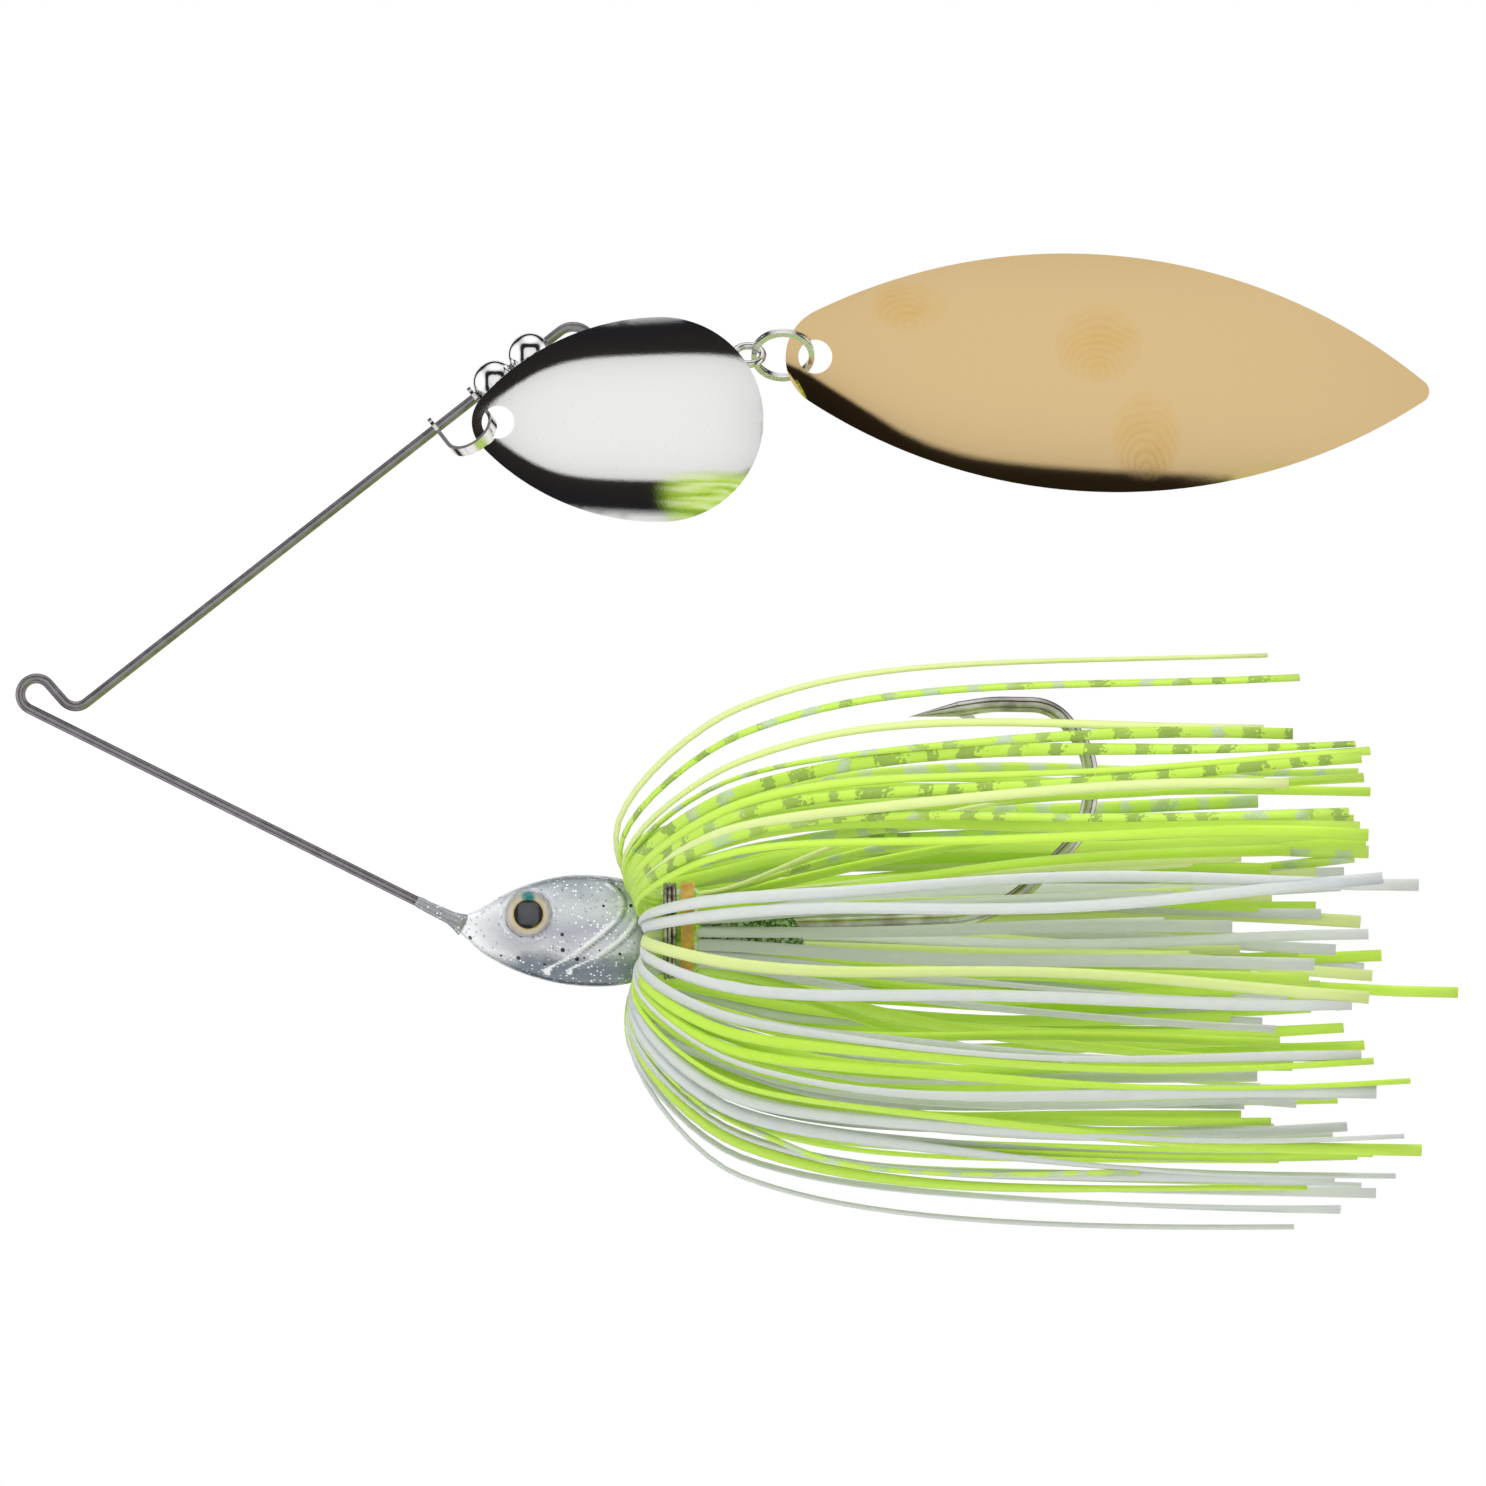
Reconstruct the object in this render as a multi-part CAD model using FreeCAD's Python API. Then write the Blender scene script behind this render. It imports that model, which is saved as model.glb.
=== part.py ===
"""Tandem spinnerbait: a bent wire arm, a cast fish head with its hook and skirt, and two spinner blades.

The frame: the origin is the centre of the line tie bend, +X runs back towards the skirt's tips, +Z up
towards the blades, and the hook, the wire arm and the head share the plane Y = 0. Sizes are in millimetres.
"""
import FreeCAD, Part
import math
import os

V = FreeCAD.Vector

# ---------------------------------------------------------------- driving sizes
RUNNING_GAP = 0.10          # radial room of anything that turns or slides on something else
TOUCH_GAP = 0.05            # between two pieces that only lie against each other

# the wire arm
WIRE_D = 0.90
TIE_BEND_R = 1.45           # centreline radius of the line tie bend
STOP_BEND_R = 1.50          # centreline radius of the small bend that keeps the line in the tie
TIE_EXIT_ANGLE = -49.0      # the short run from the line tie down to the stop bend
TIE_RUN = 2.0
UPPER_ANGLE = 38.1          # the upper arm rises at this angle
UPPER_RUN = 54.2            # straight length of the upper arm, up to its closed eye
LOWER_ANGLE = -26.4         # the lower arm falls at this angle
LOWER_RUN = 45.4            # straight length of the lower arm, down to the bend inside the head
ANCHOR_RUN = 2.2            # from the hook's eye forwards to the lower arm's line
ANCHOR_TAIL = 1.3           # the wire's end stands through the hook's eye by this
ANCHOR_BENDS = (0.62, 2.0, 3.0)
EYE_R = 1.90                # centreline radius of the closed eye at the end of the upper arm
EYE_TURN = 260.0            # how far round the eye is bent; the upper bead closes the rest of it

# the head
HEAD_SECTIONS = (           # distance behind the nose, height of the centre, half height, half width
    (0.0, 0.55, 0.60, 0.60),
    (2.0, -0.05, 2.05, 1.55),
    (5.0, 0.10, 3.62, 2.75),
    (9.0, 0.10, 4.85, 3.60),
    (12.5, 0.00, 5.02, 3.85),
    (15.0, -0.05, 4.72, 3.70),
    (16.8, -0.10, 3.90, 3.15),
)
NECK_R = 2.4                # the skirt is tied on this round neck
NECK_LENGTH = 5.4
KEEPER_R = 2.0              # the thinner barrel behind the neck, which holds a soft trailer
KEEPER_LENGTH = 8.8
KEEPER_BARB = 0.8           # how far the trailer barb stands out
KEEPER_BARB_LENGTH = 2.2
KEEPER_BARB_AT = 3.2        # the barb's edge, behind the neck
KEEPER_SLANT = 35.0         # the keeper's end is cut at this angle
NOSE_OVER_WIRE = 2.256      # how much of the lower arm's straight run is inside the head
AXIS_UNDER_WIRE = 0.818     # the axis of the head, the neck and the skirt, below the wire at the nose
EYE_DISC_D = 4.2
EYE_FOIL_T = 0.25
EYE_DOME_H = 0.75
EYE_BACK = 6.3              # behind the nose
EYE_UP = 1.55               # above the axis
EYE_SEAT_Y = 2.35           # distance of the eye sockets' flat floors from the middle plane

# the hook
HOOK_D = 1.40
HOOK_EYE_SLACK = 0.15       # room round the wire in the hook's eye
HOOK_EYE_BACK = 6.6         # the hook's eye, behind the nose
HOOK_EYE_DROP = 0.25        # and below the axis
HOOK_BENDS = (              # distance behind the nose, height over the axis, bend radius
    (48.4, 1.15, 12.0),
    (56.85, 9.45, 8.0),
    (56.85, 16.0, 6.0),
    (53.5, 20.35, 4.0),
    (48.0, 20.45, 14.0),
)
HOOK_TIP = (40.5, 19.3)
POINT_TAPER = 4.6           # length of the ground point
BARB_LENGTH = 3.0
BARB_LIFT = 1.0             # how far the barb's tip stands away from the wire
BARB_T = 0.5

# the skirt
BUNDLE_T = 1.6              # the squeezed strands' depth on the neck
SKIRT_ROOT_START = 1.5      # behind the head's rear end
TIE_WIRE_D = 0.40
TIE_WIRE_TURNS = 3
BAND_T = 0.45
BAND_WIDTH = 1.2
BAND_GAP = 0.40             # between the tie wire and the rubber band
STRAND_W = 1.20
STRAND_T = 0.45
STRAND_GAP = 0.104          # between neighbouring strands at the flare's rim
FLARE_LEAN = 2.2            # how far the flare leans forwards, over the back of the head
FLARE_T = 0.85
BELLY_RISE = 11.5           # from the flare's rim to the widest part of the bell
BELLY_BACK = 9.6
OUTER_REACH = 61.5          # from the tie back to the tips
OUTER_SPREAD = 23.5         # radius of the outer layer at its tips
INNER_REACH = 56.0
INNER_SPREAD = 11.0
TRIM = 4.0                  # how unevenly the tips are cut, either way
OUTER_STRANDS = 40
INNER_STRANDS = 14

# the clevis, its beads and the front blade
CLEVIS_HALF_WIDTH = 2.25    # from the middle to each ear, along the wire
CLEVIS_LEG = 3.75
CLEVIS_STRIP_W = 1.0
CLEVIS_STRIP_T = 0.35
CLEVIS_EAR_R = 1.15
CLEVIS_ROLL = 53.0          # turn about the wire, out of the middle plane
BEAD_D = 3.97
BEAD_STOP = 1.435           # bare straight wire between the upper bead and the end eye
BLADE_T = 0.55
BLADE_CROWN = 0.52          # a blade's highest place, as a share of its length
FRONT_LENGTH = 26.2
FRONT_HALF_WIDTH = 9.2
FRONT_NOSE_R = 3.116        # rounding of the outline at the head end
FRONT_CROSS_R = 19.0        # radius of the cup across the blade
FRONT_LONG_R = 45.0         # radius of the cup along the blade
FRONT_HOLE_D = 2.95
FRONT_RIM = 0.90            # metal left between the hole and the blade's head end
FRONT_THREAD_ANGLE = 79.0   # where round the clevis' bend the blade hangs, from the bend's bottom
FRONT_HANG = (0.92, 0.3)    # the strip's place in the hole: behind its head side, and above its middle
FRONT_RISE = 1.0            # the front blade's slope

# the tail: ring, swivel, split ring and rear blade
TAIL_DROP = 0.644            # the tail's axis, below the end eye's middle
RING_D = 0.70
RING_R = 1.75
SWIVEL_WIRE_D = 0.70
SWIVEL_EYE_R = 1.10
SWIVEL_REAR_EYE_R = 1.30
SWIVEL_SHAFT = 0.8          # free length of the front shaft outside the barrel
SWIVEL_REAR_SHAFT = 1.6
BARREL_LENGTH = 6.4
BARREL_WALL = 0.50
BARREL_END_WALL = 0.80
SHAFT_HEAD_OVER = 0.09      # how far the shaft's head reaches past the middle of the balls
SHAFT_HEAD_T = 0.50
BALL_D = 0.70
BALL_ROOM = 0.06            # between the balls and the shaft
BALL_WALL_ROOM = 0.09       # between the balls and the barrel's wall
BALLS_PER_END = 6
SPLIT_RING_R = 2.60
SPLIT_RING_RADIAL = 0.50
SPLIT_RING_WIDTH = 0.60
SPLIT_RING_GROOVE = 0.08
SPLIT_RING_SLACK = 0.18     # between the split ring and the swivel's rear eye
SPLIT_RING_TILT = 41.0      # lean of the split ring about the tail's axis
REAR_LENGTH = 58.0
REAR_HALF_WIDTH = 10.67
REAR_WIDEST = 0.474         # the widest place, as a share of the length
REAR_TAIL_R = 1.0675        # rounding of the outline at the tail end
REAR_CROSS_R = 36.0
REAR_LONG_R = 140.0
REAR_HOLE_D = 3.05
REAR_RIM = 1.15
REAR_HANG_GAP = 0.95        # between the rim and the split ring
REAR_RISE = -3.3            # the rear blade's slope
REAR_ROLL = 3.0             # its dome leans down by this, about its own length
REAR_SEAT = 0.15            # the rear blade hangs this far behind the middle plane

# ---------------------------------------------------------------- helpers


def polar(radius, degrees):
    """A point in the plane Y = 0, at an angle measured from +X towards +Z."""
    return V(radius * math.cos(math.radians(degrees)), 0, radius * math.sin(math.radians(degrees)))


def unit(v):
    return V(v).normalize()


def bent_edges(corners, radii):
    """Straight runs through corners, joined by tangent arcs of the given radii at the inner corners."""
    edges, start = [], corners[0]
    for before, corner, after, radius in zip(corners, corners[1:], corners[2:], radii):
        come, leave = unit(corner - before), unit(after - corner)
        half_turn = come.getAngle(leave) / 2
        cut = radius * math.tan(half_turn)
        first, last = corner - come * cut, corner + leave * cut
        middle = corner + unit(leave - come) * (radius / math.cos(half_turn) - radius)
        if (first - start).Length > 1e-6:
            edges.append(Part.LineSegment(start, first).toShape())
        edges.append(Part.Arc(first, middle, last).toShape())
        start = last
    edges.append(Part.LineSegment(start, corners[-1]).toShape())
    return edges


def round_bar(edges, diameter):
    """A round bar swept along a chain of tangent edges."""
    path = Part.Wire(edges)
    start = path.Edges[0]
    circle = Part.makeCircle(diameter / 2, start.Vertexes[0].Point, start.tangentAt(start.FirstParameter))
    return path.makePipeShell([Part.Wire([circle])], True, True)


def flat_bar(edges, width_way, width, thickness):
    """A flat strip swept along a plane chain of edges; width_way is normal to that plane."""
    path = Part.Wire(edges)
    start = path.Edges[0]
    at, along = start.Vertexes[0].Point, start.tangentAt(start.FirstParameter)
    across, through = unit(width_way) * (width / 2), unit(along.cross(width_way)) * (thickness / 2)
    corners = [at - across - through, at + across - through, at + across + through, at - across + through]
    return path.makePipeShell([Part.makePolygon(corners + corners[:1])], True, False)


def rod(radius, start, end):
    return Part.makeCylinder(radius, (end - start).Length, start, end - start)


def torus(ring_radius, bar_diameter, centre, normal):
    return Part.makeTorus(ring_radius, bar_diameter / 2, centre, normal)


def place(shape, x_way, z_way, at):
    """Moves a shape from its own axes to the given ones: +X to x_way, +Z to z_way, the origin to at."""
    x = unit(x_way)
    y = unit(z_way.cross(x))
    z = x.cross(y)
    matrix = FreeCAD.Matrix(x.x, y.x, z.x, at.x, x.y, y.y, z.y, at.y, x.z, y.z, z.z, at.z, 0, 0, 0, 1)
    moved = shape.copy()
    moved.transformShape(matrix)
    return moved


# ---------------------------------------------------------------- places that several pieces share

# the wire arm, bend by bend
UPPER_WAY = polar(1, UPPER_ANGLE)
LOWER_WAY = polar(1, LOWER_ANGLE)
TIE_EXIT = polar(TIE_BEND_R, TIE_EXIT_ANGLE + 90)
STOP_CENTRE = TIE_EXIT + polar(TIE_RUN, TIE_EXIT_ANGLE) + polar(STOP_BEND_R, TIE_EXIT_ANGLE + 90)
UPPER_START = STOP_CENTRE + polar(STOP_BEND_R, UPPER_ANGLE - 90)
UPPER_END = UPPER_START + UPPER_WAY * UPPER_RUN
WIRE_EYE = UPPER_END + polar(EYE_R, UPPER_ANGLE - 90)
LOWER_START = polar(TIE_BEND_R, LOWER_ANGLE - 90)

# the head
NOSE = LOWER_START + LOWER_WAY * (LOWER_RUN - NOSE_OVER_WIRE)
NOSE_X = NOSE.x
AXIS_Z = NOSE.z - AXIS_UNDER_WIRE
HEAD_REAR_X = NOSE_X + HEAD_SECTIONS[-1][0]
NECK_END_X = HEAD_REAR_X + NECK_LENGTH
KEEPER_END_X = NECK_END_X + KEEPER_LENGTH
HOOK_EYE = V(NOSE_X + HOOK_EYE_BACK, 0, AXIS_Z - HOOK_EYE_DROP)
HOOK_EYE_R = (HOOK_D + WIRE_D) / 2 + HOOK_EYE_SLACK

# the skirt's tie
ROOT_X = HEAD_REAR_X + SKIRT_ROOT_START
SKIRT_ROOT_R = NECK_R + BUNDLE_T
TIE_LENGTH = TIE_WIRE_D * (TIE_WIRE_TURNS + 0.25)
SKIRT_ROOT_LENGTH = TIE_LENGTH + BAND_GAP + BAND_WIDTH
FLARE_R = OUTER_STRANDS * (STRAND_W + STRAND_GAP) / (2 * math.pi)

# the beads and the clevis, whose own axes are the wire's way, and the way its bend points
EAR_OUTSIDE = CLEVIS_HALF_WIDTH + CLEVIS_STRIP_T / 2
UPPER_BEAD_AT = UPPER_RUN - BEAD_STOP - BEAD_D / 2
LOWER_BEAD_AT = UPPER_BEAD_AT - BEAD_D - TOUCH_GAP
CLEVIS_AT = LOWER_BEAD_AT - BEAD_D / 2 - TOUCH_GAP - EAR_OUTSIDE
CLEVIS_MIDDLE = UPPER_START + UPPER_WAY * CLEVIS_AT
CLEVIS_DOWN = (polar(math.cos(math.radians(CLEVIS_ROLL)), UPPER_ANGLE - 90)
               + V(0, -math.sin(math.radians(CLEVIS_ROLL)), 0))
CLEVIS_SIDE = UPPER_WAY.cross(CLEVIS_DOWN)
CLEVIS_BEND = CLEVIS_MIDDLE + CLEVIS_DOWN * CLEVIS_LEG

# the tail, link by link along +X
LINK_GAP = 0.10
TAIL_Z = WIRE_EYE.z - TAIL_DROP
RING_REACH = EYE_R - WIRE_D / 2 - LINK_GAP - RING_D / 2
RING_X = WIRE_EYE.x + math.sqrt(RING_REACH ** 2 - TAIL_DROP ** 2) + RING_R
FRONT_EYE_X = RING_X + RING_R - RING_D / 2 - LINK_GAP - SWIVEL_WIRE_D / 2 + SWIVEL_EYE_R
BARREL_X = FRONT_EYE_X + SWIVEL_EYE_R + SWIVEL_SHAFT
BARREL_END_X = BARREL_X + BARREL_LENGTH
REAR_EYE_X = BARREL_END_X + SWIVEL_REAR_SHAFT + SWIVEL_REAR_EYE_R
REAR_EYE_ROOM = SWIVEL_REAR_EYE_R - SWIVEL_WIRE_D / 2
SPLIT_RING_X = REAR_EYE_X + REAR_EYE_ROOM - SPLIT_RING_SLACK - SPLIT_RING_RADIAL / 2 + SPLIT_RING_R
BALL_CIRCLE_R = (SWIVEL_WIRE_D + BALL_D) / 2 + BALL_ROOM
SHAFT_HEAD_R = BALL_CIRCLE_R + SHAFT_HEAD_OVER
BARREL_D = 2 * (BALL_CIRCLE_R + BALL_D / 2 + BALL_WALL_ROOM + BARREL_WALL)
RING_MIDDLE = V(RING_X, 0, TAIL_Z)
REAR_EYE = V(REAR_EYE_X, 0, TAIL_Z)
SPLIT_RING_MIDDLE = V(SPLIT_RING_X, 0, TAIL_Z)
SPLIT_RING_NORMAL = V(0, math.cos(math.radians(SPLIT_RING_TILT)), math.sin(math.radians(SPLIT_RING_TILT)))
REAR_EYE_NORMAL = V(0, -SPLIT_RING_NORMAL.z, SPLIT_RING_NORMAL.y)

# ---------------------------------------------------------------- the wire arm and the head


def wire_arm():
    """One wire: anchored in the hook's eye, bent into the line tie, run up and closed in an eye."""
    side = WIRE_D / 2 + HOOK_D / 2 + TOUCH_GAP
    enter = LOWER_START + LOWER_WAY * (LOWER_RUN - 2)
    inside = [
        HOOK_EYE + V(0, ANCHOR_TAIL, 0),
        HOOK_EYE + V(0, -side, 0),
        HOOK_EYE + V(-ANCHOR_RUN, -side, 0),
        enter,
        LOWER_START,
    ]
    edges = bent_edges(inside, ANCHOR_BENDS)
    foremost = polar(TIE_BEND_R, (LOWER_ANGLE + TIE_EXIT_ANGLE) / 2 - 180)
    edges.append(Part.Arc(LOWER_START, foremost, TIE_EXIT).toShape())
    foot = TIE_EXIT + polar(TIE_RUN, TIE_EXIT_ANGLE)
    edges.append(Part.LineSegment(TIE_EXIT, foot).toShape())
    lowest = STOP_CENTRE + polar(STOP_BEND_R, (TIE_EXIT_ANGLE + UPPER_ANGLE) / 2 - 90)
    edges.append(Part.Arc(foot, lowest, UPPER_START).toShape())
    edges.append(Part.LineSegment(UPPER_START, UPPER_END).toShape())
    first = UPPER_ANGLE + 90
    for share in (0, 1):
        begin, middle, end = (first - EYE_TURN * (share + k) / 2 for k in (0, 0.5, 1))
        points = [WIRE_EYE + polar(EYE_R, a) for a in (begin, middle, end)]
        edges.append(Part.Arc(*points).toShape())
    return round_bar(edges, WIRE_D)


def hook_wire():
    """The hook: a closed eye in the head, a straight shank, the bend and a ground point with its barb."""
    corners = [V(NOSE_X + x, 0, AXIS_Z + z) for x, z, _ in HOOK_BENDS]
    tip = V(NOSE_X + HOOK_TIP[0], 0, AXIS_Z + HOOK_TIP[1])
    shank_way = unit(corners[0] - HOOK_EYE)
    start = HOOK_EYE + shank_way * HOOK_EYE_R
    back = unit(corners[-1] - tip)
    taper_start = tip + back * POINT_TAPER
    bar = round_bar(bent_edges([start] + corners + [taper_start], [r for _, _, r in HOOK_BENDS]), HOOK_D)
    point = Part.makeCone(HOOK_D / 2, 0, POINT_TAPER, taper_start, -back)
    eye = torus(HOOK_EYE_R, HOOK_D, HOOK_EYE, V(0, 1, 0))
    under = unit(V(back.z, 0, -back.x))
    root = tip + back * (POINT_TAPER * 0.7)
    outline = [root, root + back * BARB_LENGTH + under * (HOOK_D / 2 + BARB_LIFT),
               root + back * (BARB_LENGTH * 0.75)]
    wedge = Part.Face(Part.makePolygon(outline + outline[:1]))
    barb = wedge.extrude(V(0, BARB_T, 0))
    barb.translate(V(0, -BARB_T / 2, 0))
    return bar.fuse([point, eye, barb]).removeSplitter()


def head_casting(wire, hook):
    """The cast head, its neck and the trailer keeper, in one piece round the wire and the hook's shank."""
    rings = []
    for back, up, half_height, half_width in HEAD_SECTIONS:
        centre = V(NOSE_X + back, 0, AXIS_Z + up)
        if half_height > half_width:
            oval = Part.Ellipse(centre + V(0, 0, half_height), centre + V(0, half_width, 0), centre)
            rings.append(Part.Wire([oval.toShape()]))
        else:
            rings.append(Part.Wire([Part.makeCircle(half_height, centre, V(1, 0, 0))]))
    body = Part.makeLoft(rings, True, False)
    axis = V(0, 0, AXIS_Z)
    neck = rod(NECK_R, axis + V(HEAD_REAR_X - 3, 0, 0), axis + V(NECK_END_X, 0, 0))
    keeper = rod(KEEPER_R, axis + V(NECK_END_X - 1, 0, 0), axis + V(KEEPER_END_X, 0, 0))
    barb_end = axis + V(NECK_END_X + KEEPER_BARB_AT, 0, 0)
    barb = Part.makeCone(KEEPER_R, KEEPER_R + KEEPER_BARB, KEEPER_BARB_LENGTH, barb_end, V(-1, 0, 0))
    body = body.fuse([neck, keeper, barb])
    across = 5 * KEEPER_R
    slant = Part.makeBox(across, across, across, V(0, -across / 2, -across / 2))
    slant.rotate(V(0, 0, 0), V(0, 1, 0), KEEPER_SLANT)
    slant.translate(V(KEEPER_END_X - 0.3 * KEEPER_R, 0, AXIS_Z))
    body = body.cut(slant)
    for side in (-1, 1):
        seat = eye_middle(side)
        body = body.cut(rod(EYE_DISC_D / 2 + TOUCH_GAP, seat, seat + V(0, side * 5, 0)))
    return body.cut([wire, hook]).removeSplitter()


def eye_middle(side):
    return V(NOSE_X + EYE_BACK, side * EYE_SEAT_Y, AXIS_Z + EYE_UP)


def eye_foil(side):
    """The printed foil disc at the bottom of an eye socket."""
    seat = eye_middle(side)
    return rod(EYE_DISC_D / 2, seat, seat + V(0, side * EYE_FOIL_T, 0))


def eye_dome(side):
    """The clear domed resin over the foil, a slice off a ball."""
    seat = eye_middle(side) + V(0, side * EYE_FOIL_T, 0)
    wall, crown = 0.25, EYE_DOME_H
    radius = (EYE_DISC_D ** 2 / 4 + crown ** 2) / (2 * crown)
    ball = Part.makeSphere(radius, seat + V(0, side * (wall + crown - radius), 0))
    return ball.common(rod(EYE_DISC_D / 2, seat, seat + V(0, side * (wall + crown), 0)))


# ---------------------------------------------------------------- the skirt


def turned(points):
    """A solid ring about the skirt's axis, from its section as (distance along, radius) points."""
    corners = [V(x, 0, AXIS_Z + r) for x, r in points]
    return Part.Face(Part.makePolygon(corners + corners[:1])).revolve(V(0, 0, AXIS_Z), V(1, 0, 0), 360)


def skirt_root():
    """The strands' middles: squeezed into a round bundle on the neck, and packed into a flare before it."""
    front, back = ROOT_X - FLARE_T, ROOT_X + SKIRT_ROOT_LENGTH
    return turned([(front, NECK_R), (back, NECK_R), (back, SKIRT_ROOT_R), (ROOT_X, SKIRT_ROOT_R),
                   (ROOT_X - FLARE_LEAN, FLARE_R), (front - FLARE_LEAN, FLARE_R)])


def tie_wire():
    """Three turns of soft wire, side by side, that bind the skirt."""
    turns = []
    for n in range(TIE_WIRE_TURNS):
        centre = V(ROOT_X + TIE_WIRE_D * (n + 0.75), 0, AXIS_Z)
        turns.append(torus(SKIRT_ROOT_R + TIE_WIRE_D / 2, TIE_WIRE_D - 0.02, centre, V(1, 0, 0)))
    return Part.makeCompound(turns)


def rubber_band():
    end = ROOT_X + SKIRT_ROOT_LENGTH
    start, outside = end - BAND_WIDTH, SKIRT_ROOT_R + BAND_T
    return turned([(start, SKIRT_ROOT_R), (end, SKIRT_ROOT_R), (end, outside), (start, outside)])


def trim(n):
    """The strands are cut unevenly by hand."""
    return TRIM * math.sin(2.4 * n)


def outer_strand(n):
    """A strand that leaves the flare's rim outwards, folds over and runs back."""
    rim, high = ROOT_X - FLARE_LEAN - FLARE_T / 2, FLARE_R + TOUCH_GAP
    fold = [(rim, high), (rim - 0.6, high + 2.4), (rim + BELLY_BACK, high + BELLY_RISE),
            (ROOT_X + OUTER_REACH + trim(n), OUTER_SPREAD)]
    return strand(fold, (2.2, 9.0), 360 / OUTER_STRANDS * (n + 0.5))


def inner_strand(n):
    """A strand that leaves the tie backwards and spreads a little."""
    side_by_side = INNER_STRANDS * (STRAND_W + STRAND_GAP) / (2 * math.pi) + STRAND_T / 2
    low = max((NECK_R + SKIRT_ROOT_R) / 2, side_by_side)
    end = ROOT_X + SKIRT_ROOT_LENGTH + TOUCH_GAP
    tip = end + INNER_REACH + trim(n)
    run = [(end, low), (end + 1.5, low), (end + 20, INNER_SPREAD - 1.5), (tip, INNER_SPREAD)]
    return strand(run, (3.0, 40.0), 360 / INNER_STRANDS * (n + 0.5))


def strand(run, radii, turn):
    """A flat silicone strand in a plane through the skirt's axis, turned about it from straight up."""
    corners = [V(x, 0, AXIS_Z + r) for x, r in run]
    shape = flat_bar(bent_edges(corners, radii), V(0, 1, 0), STRAND_W, STRAND_T)
    shape.rotate(V(0, 0, AXIS_Z), V(1, 0, 0), turn)
    return shape


def strands_by_colour():
    """Three colours of strand: the back is plain and spotted yellow-green, the belly mostly white."""
    groups = {"chartreuse": [], "spotted": [], "white": []}
    for n in range(OUTER_STRANDS):
        turn = 360 / OUTER_STRANDS * (n + 0.5)
        over = math.cos(math.radians(turn)) > -0.1
        colour = ("chartreuse", "spotted")[n % 2] if over else ("white", "chartreuse")[n % 3 == 0]
        groups[colour].append(outer_strand(n))
    for n in range(INNER_STRANDS):
        groups[("chartreuse", "white")[n % 2]].append(inner_strand(n))
    return groups


# ---------------------------------------------------------------- the clevis, the beads and the blades


def clevis():
    """A flat strip folded into a stirrup, with a hole for the wire in each ear."""
    x, leg, tip = CLEVIS_HALF_WIDTH, CLEVIS_LEG, CLEVIS_EAR_R * 0.5
    edges = [
        Part.LineSegment(V(-x, 0, -tip), V(-x, 0, leg)).toShape(),
        Part.Arc(V(-x, 0, leg), V(0, 0, leg + x), V(x, 0, leg)).toShape(),
        Part.LineSegment(V(x, 0, leg), V(x, 0, -tip)).toShape(),
    ]
    body = flat_bar(edges, V(0, 1, 0), CLEVIS_STRIP_W, CLEVIS_STRIP_T)
    half = V(CLEVIS_STRIP_T / 2, 0, 0)
    ears = [rod(CLEVIS_EAR_R, V(s * x, 0, 0) - half, V(s * x, 0, 0) + half) for s in (-1, 1)]
    body = body.fuse(ears)
    body = body.cut(rod(WIRE_D / 2 + RUNNING_GAP, V(-2 * x, 0, 0), V(2 * x, 0, 0))).removeSplitter()
    return place(body, UPPER_WAY, CLEVIS_DOWN, CLEVIS_MIDDLE)


def bead(along):
    middle = UPPER_START + UPPER_WAY * along
    reach = UPPER_WAY * BEAD_D
    bore = rod(WIRE_D / 2 + RUNNING_GAP, middle - reach, middle + reach)
    return Part.makeSphere(BEAD_D / 2, middle).cut(bore)


def cupped_blade(outline, length, cross_radius, long_radius, hole_d, rim):
    """A stamped blade: an outline cut from a thin shell that is curved along and across, with its hole.

    Its own axes: +X from its head end to its tail, +Z out of its domed side; z is 0 at the top of the dome.
    """
    shells = []
    for lift in (0, -BLADE_T):
        centre = V(length * BLADE_CROWN, 0, -long_radius)
        shells.append(Part.makeTorus(long_radius - cross_radius, cross_radius + lift, centre, V(0, 1, 0)))
    depth = cross_radius * 0.9
    cutter = outline.extrude(V(0, 0, depth + 1))
    cutter.translate(V(0, 0, -depth))
    hole = rod(hole_d / 2, V(rim + hole_d / 2, 0, -depth), V(rim + hole_d / 2, 0, depth))
    return shells[0].cut(shells[1]).common(cutter).cut(hole)


def rounded_end(prism, radius, at):
    """Rounds the upright edge of a prism that stands at a point."""
    upright = [e for e in prism.Edges if abs(e.tangentAt(e.FirstParameter).z) > 0.9]
    return prism.makeFillet(radius, [min(upright, key=lambda e: (e.CenterOfMass - at).Length)])


def outline_face(arcs, roundings):
    """A flat outline from three-point arcs with rounded ends: each rounding is (x of the end, radius)."""
    flat = Part.Face(Part.Wire([Part.Arc(*[V(x, y, 0) for x, y in arc]).toShape() for arc in arcs]))
    prism = flat.extrude(V(0, 0, 4))
    for x, radius in roundings:
        prism = rounded_end(prism, radius, V(x, 0, 2))
    return [f for f in prism.Faces if abs(f.CenterOfMass.z) < 1e-6][0]


def flank_radius(span, half_width, rounding):
    """The radius of a flank whose end, rounded as stated, lies a span away from the blade's widest place."""
    return (span ** 2 + half_width ** 2 - 2 * rounding * span) / (2 * (half_width - rounding))


def flank(half_width, radius):
    """How far from the widest place an arc meets the centre line, and its height half way."""
    reach = math.sqrt(radius ** 2 - (radius - half_width) ** 2)
    half_way = math.sqrt(radius ** 2 - reach ** 2 / 4) - (radius - half_width)
    return reach, half_way


def end_radius(span, half_width, radius):
    """The rounding between two flank arcs that just reaches a span away from the blade's widest place."""
    return (span ** 2 - half_width * (2 * radius - half_width)) / (2 * (span - radius))


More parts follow.
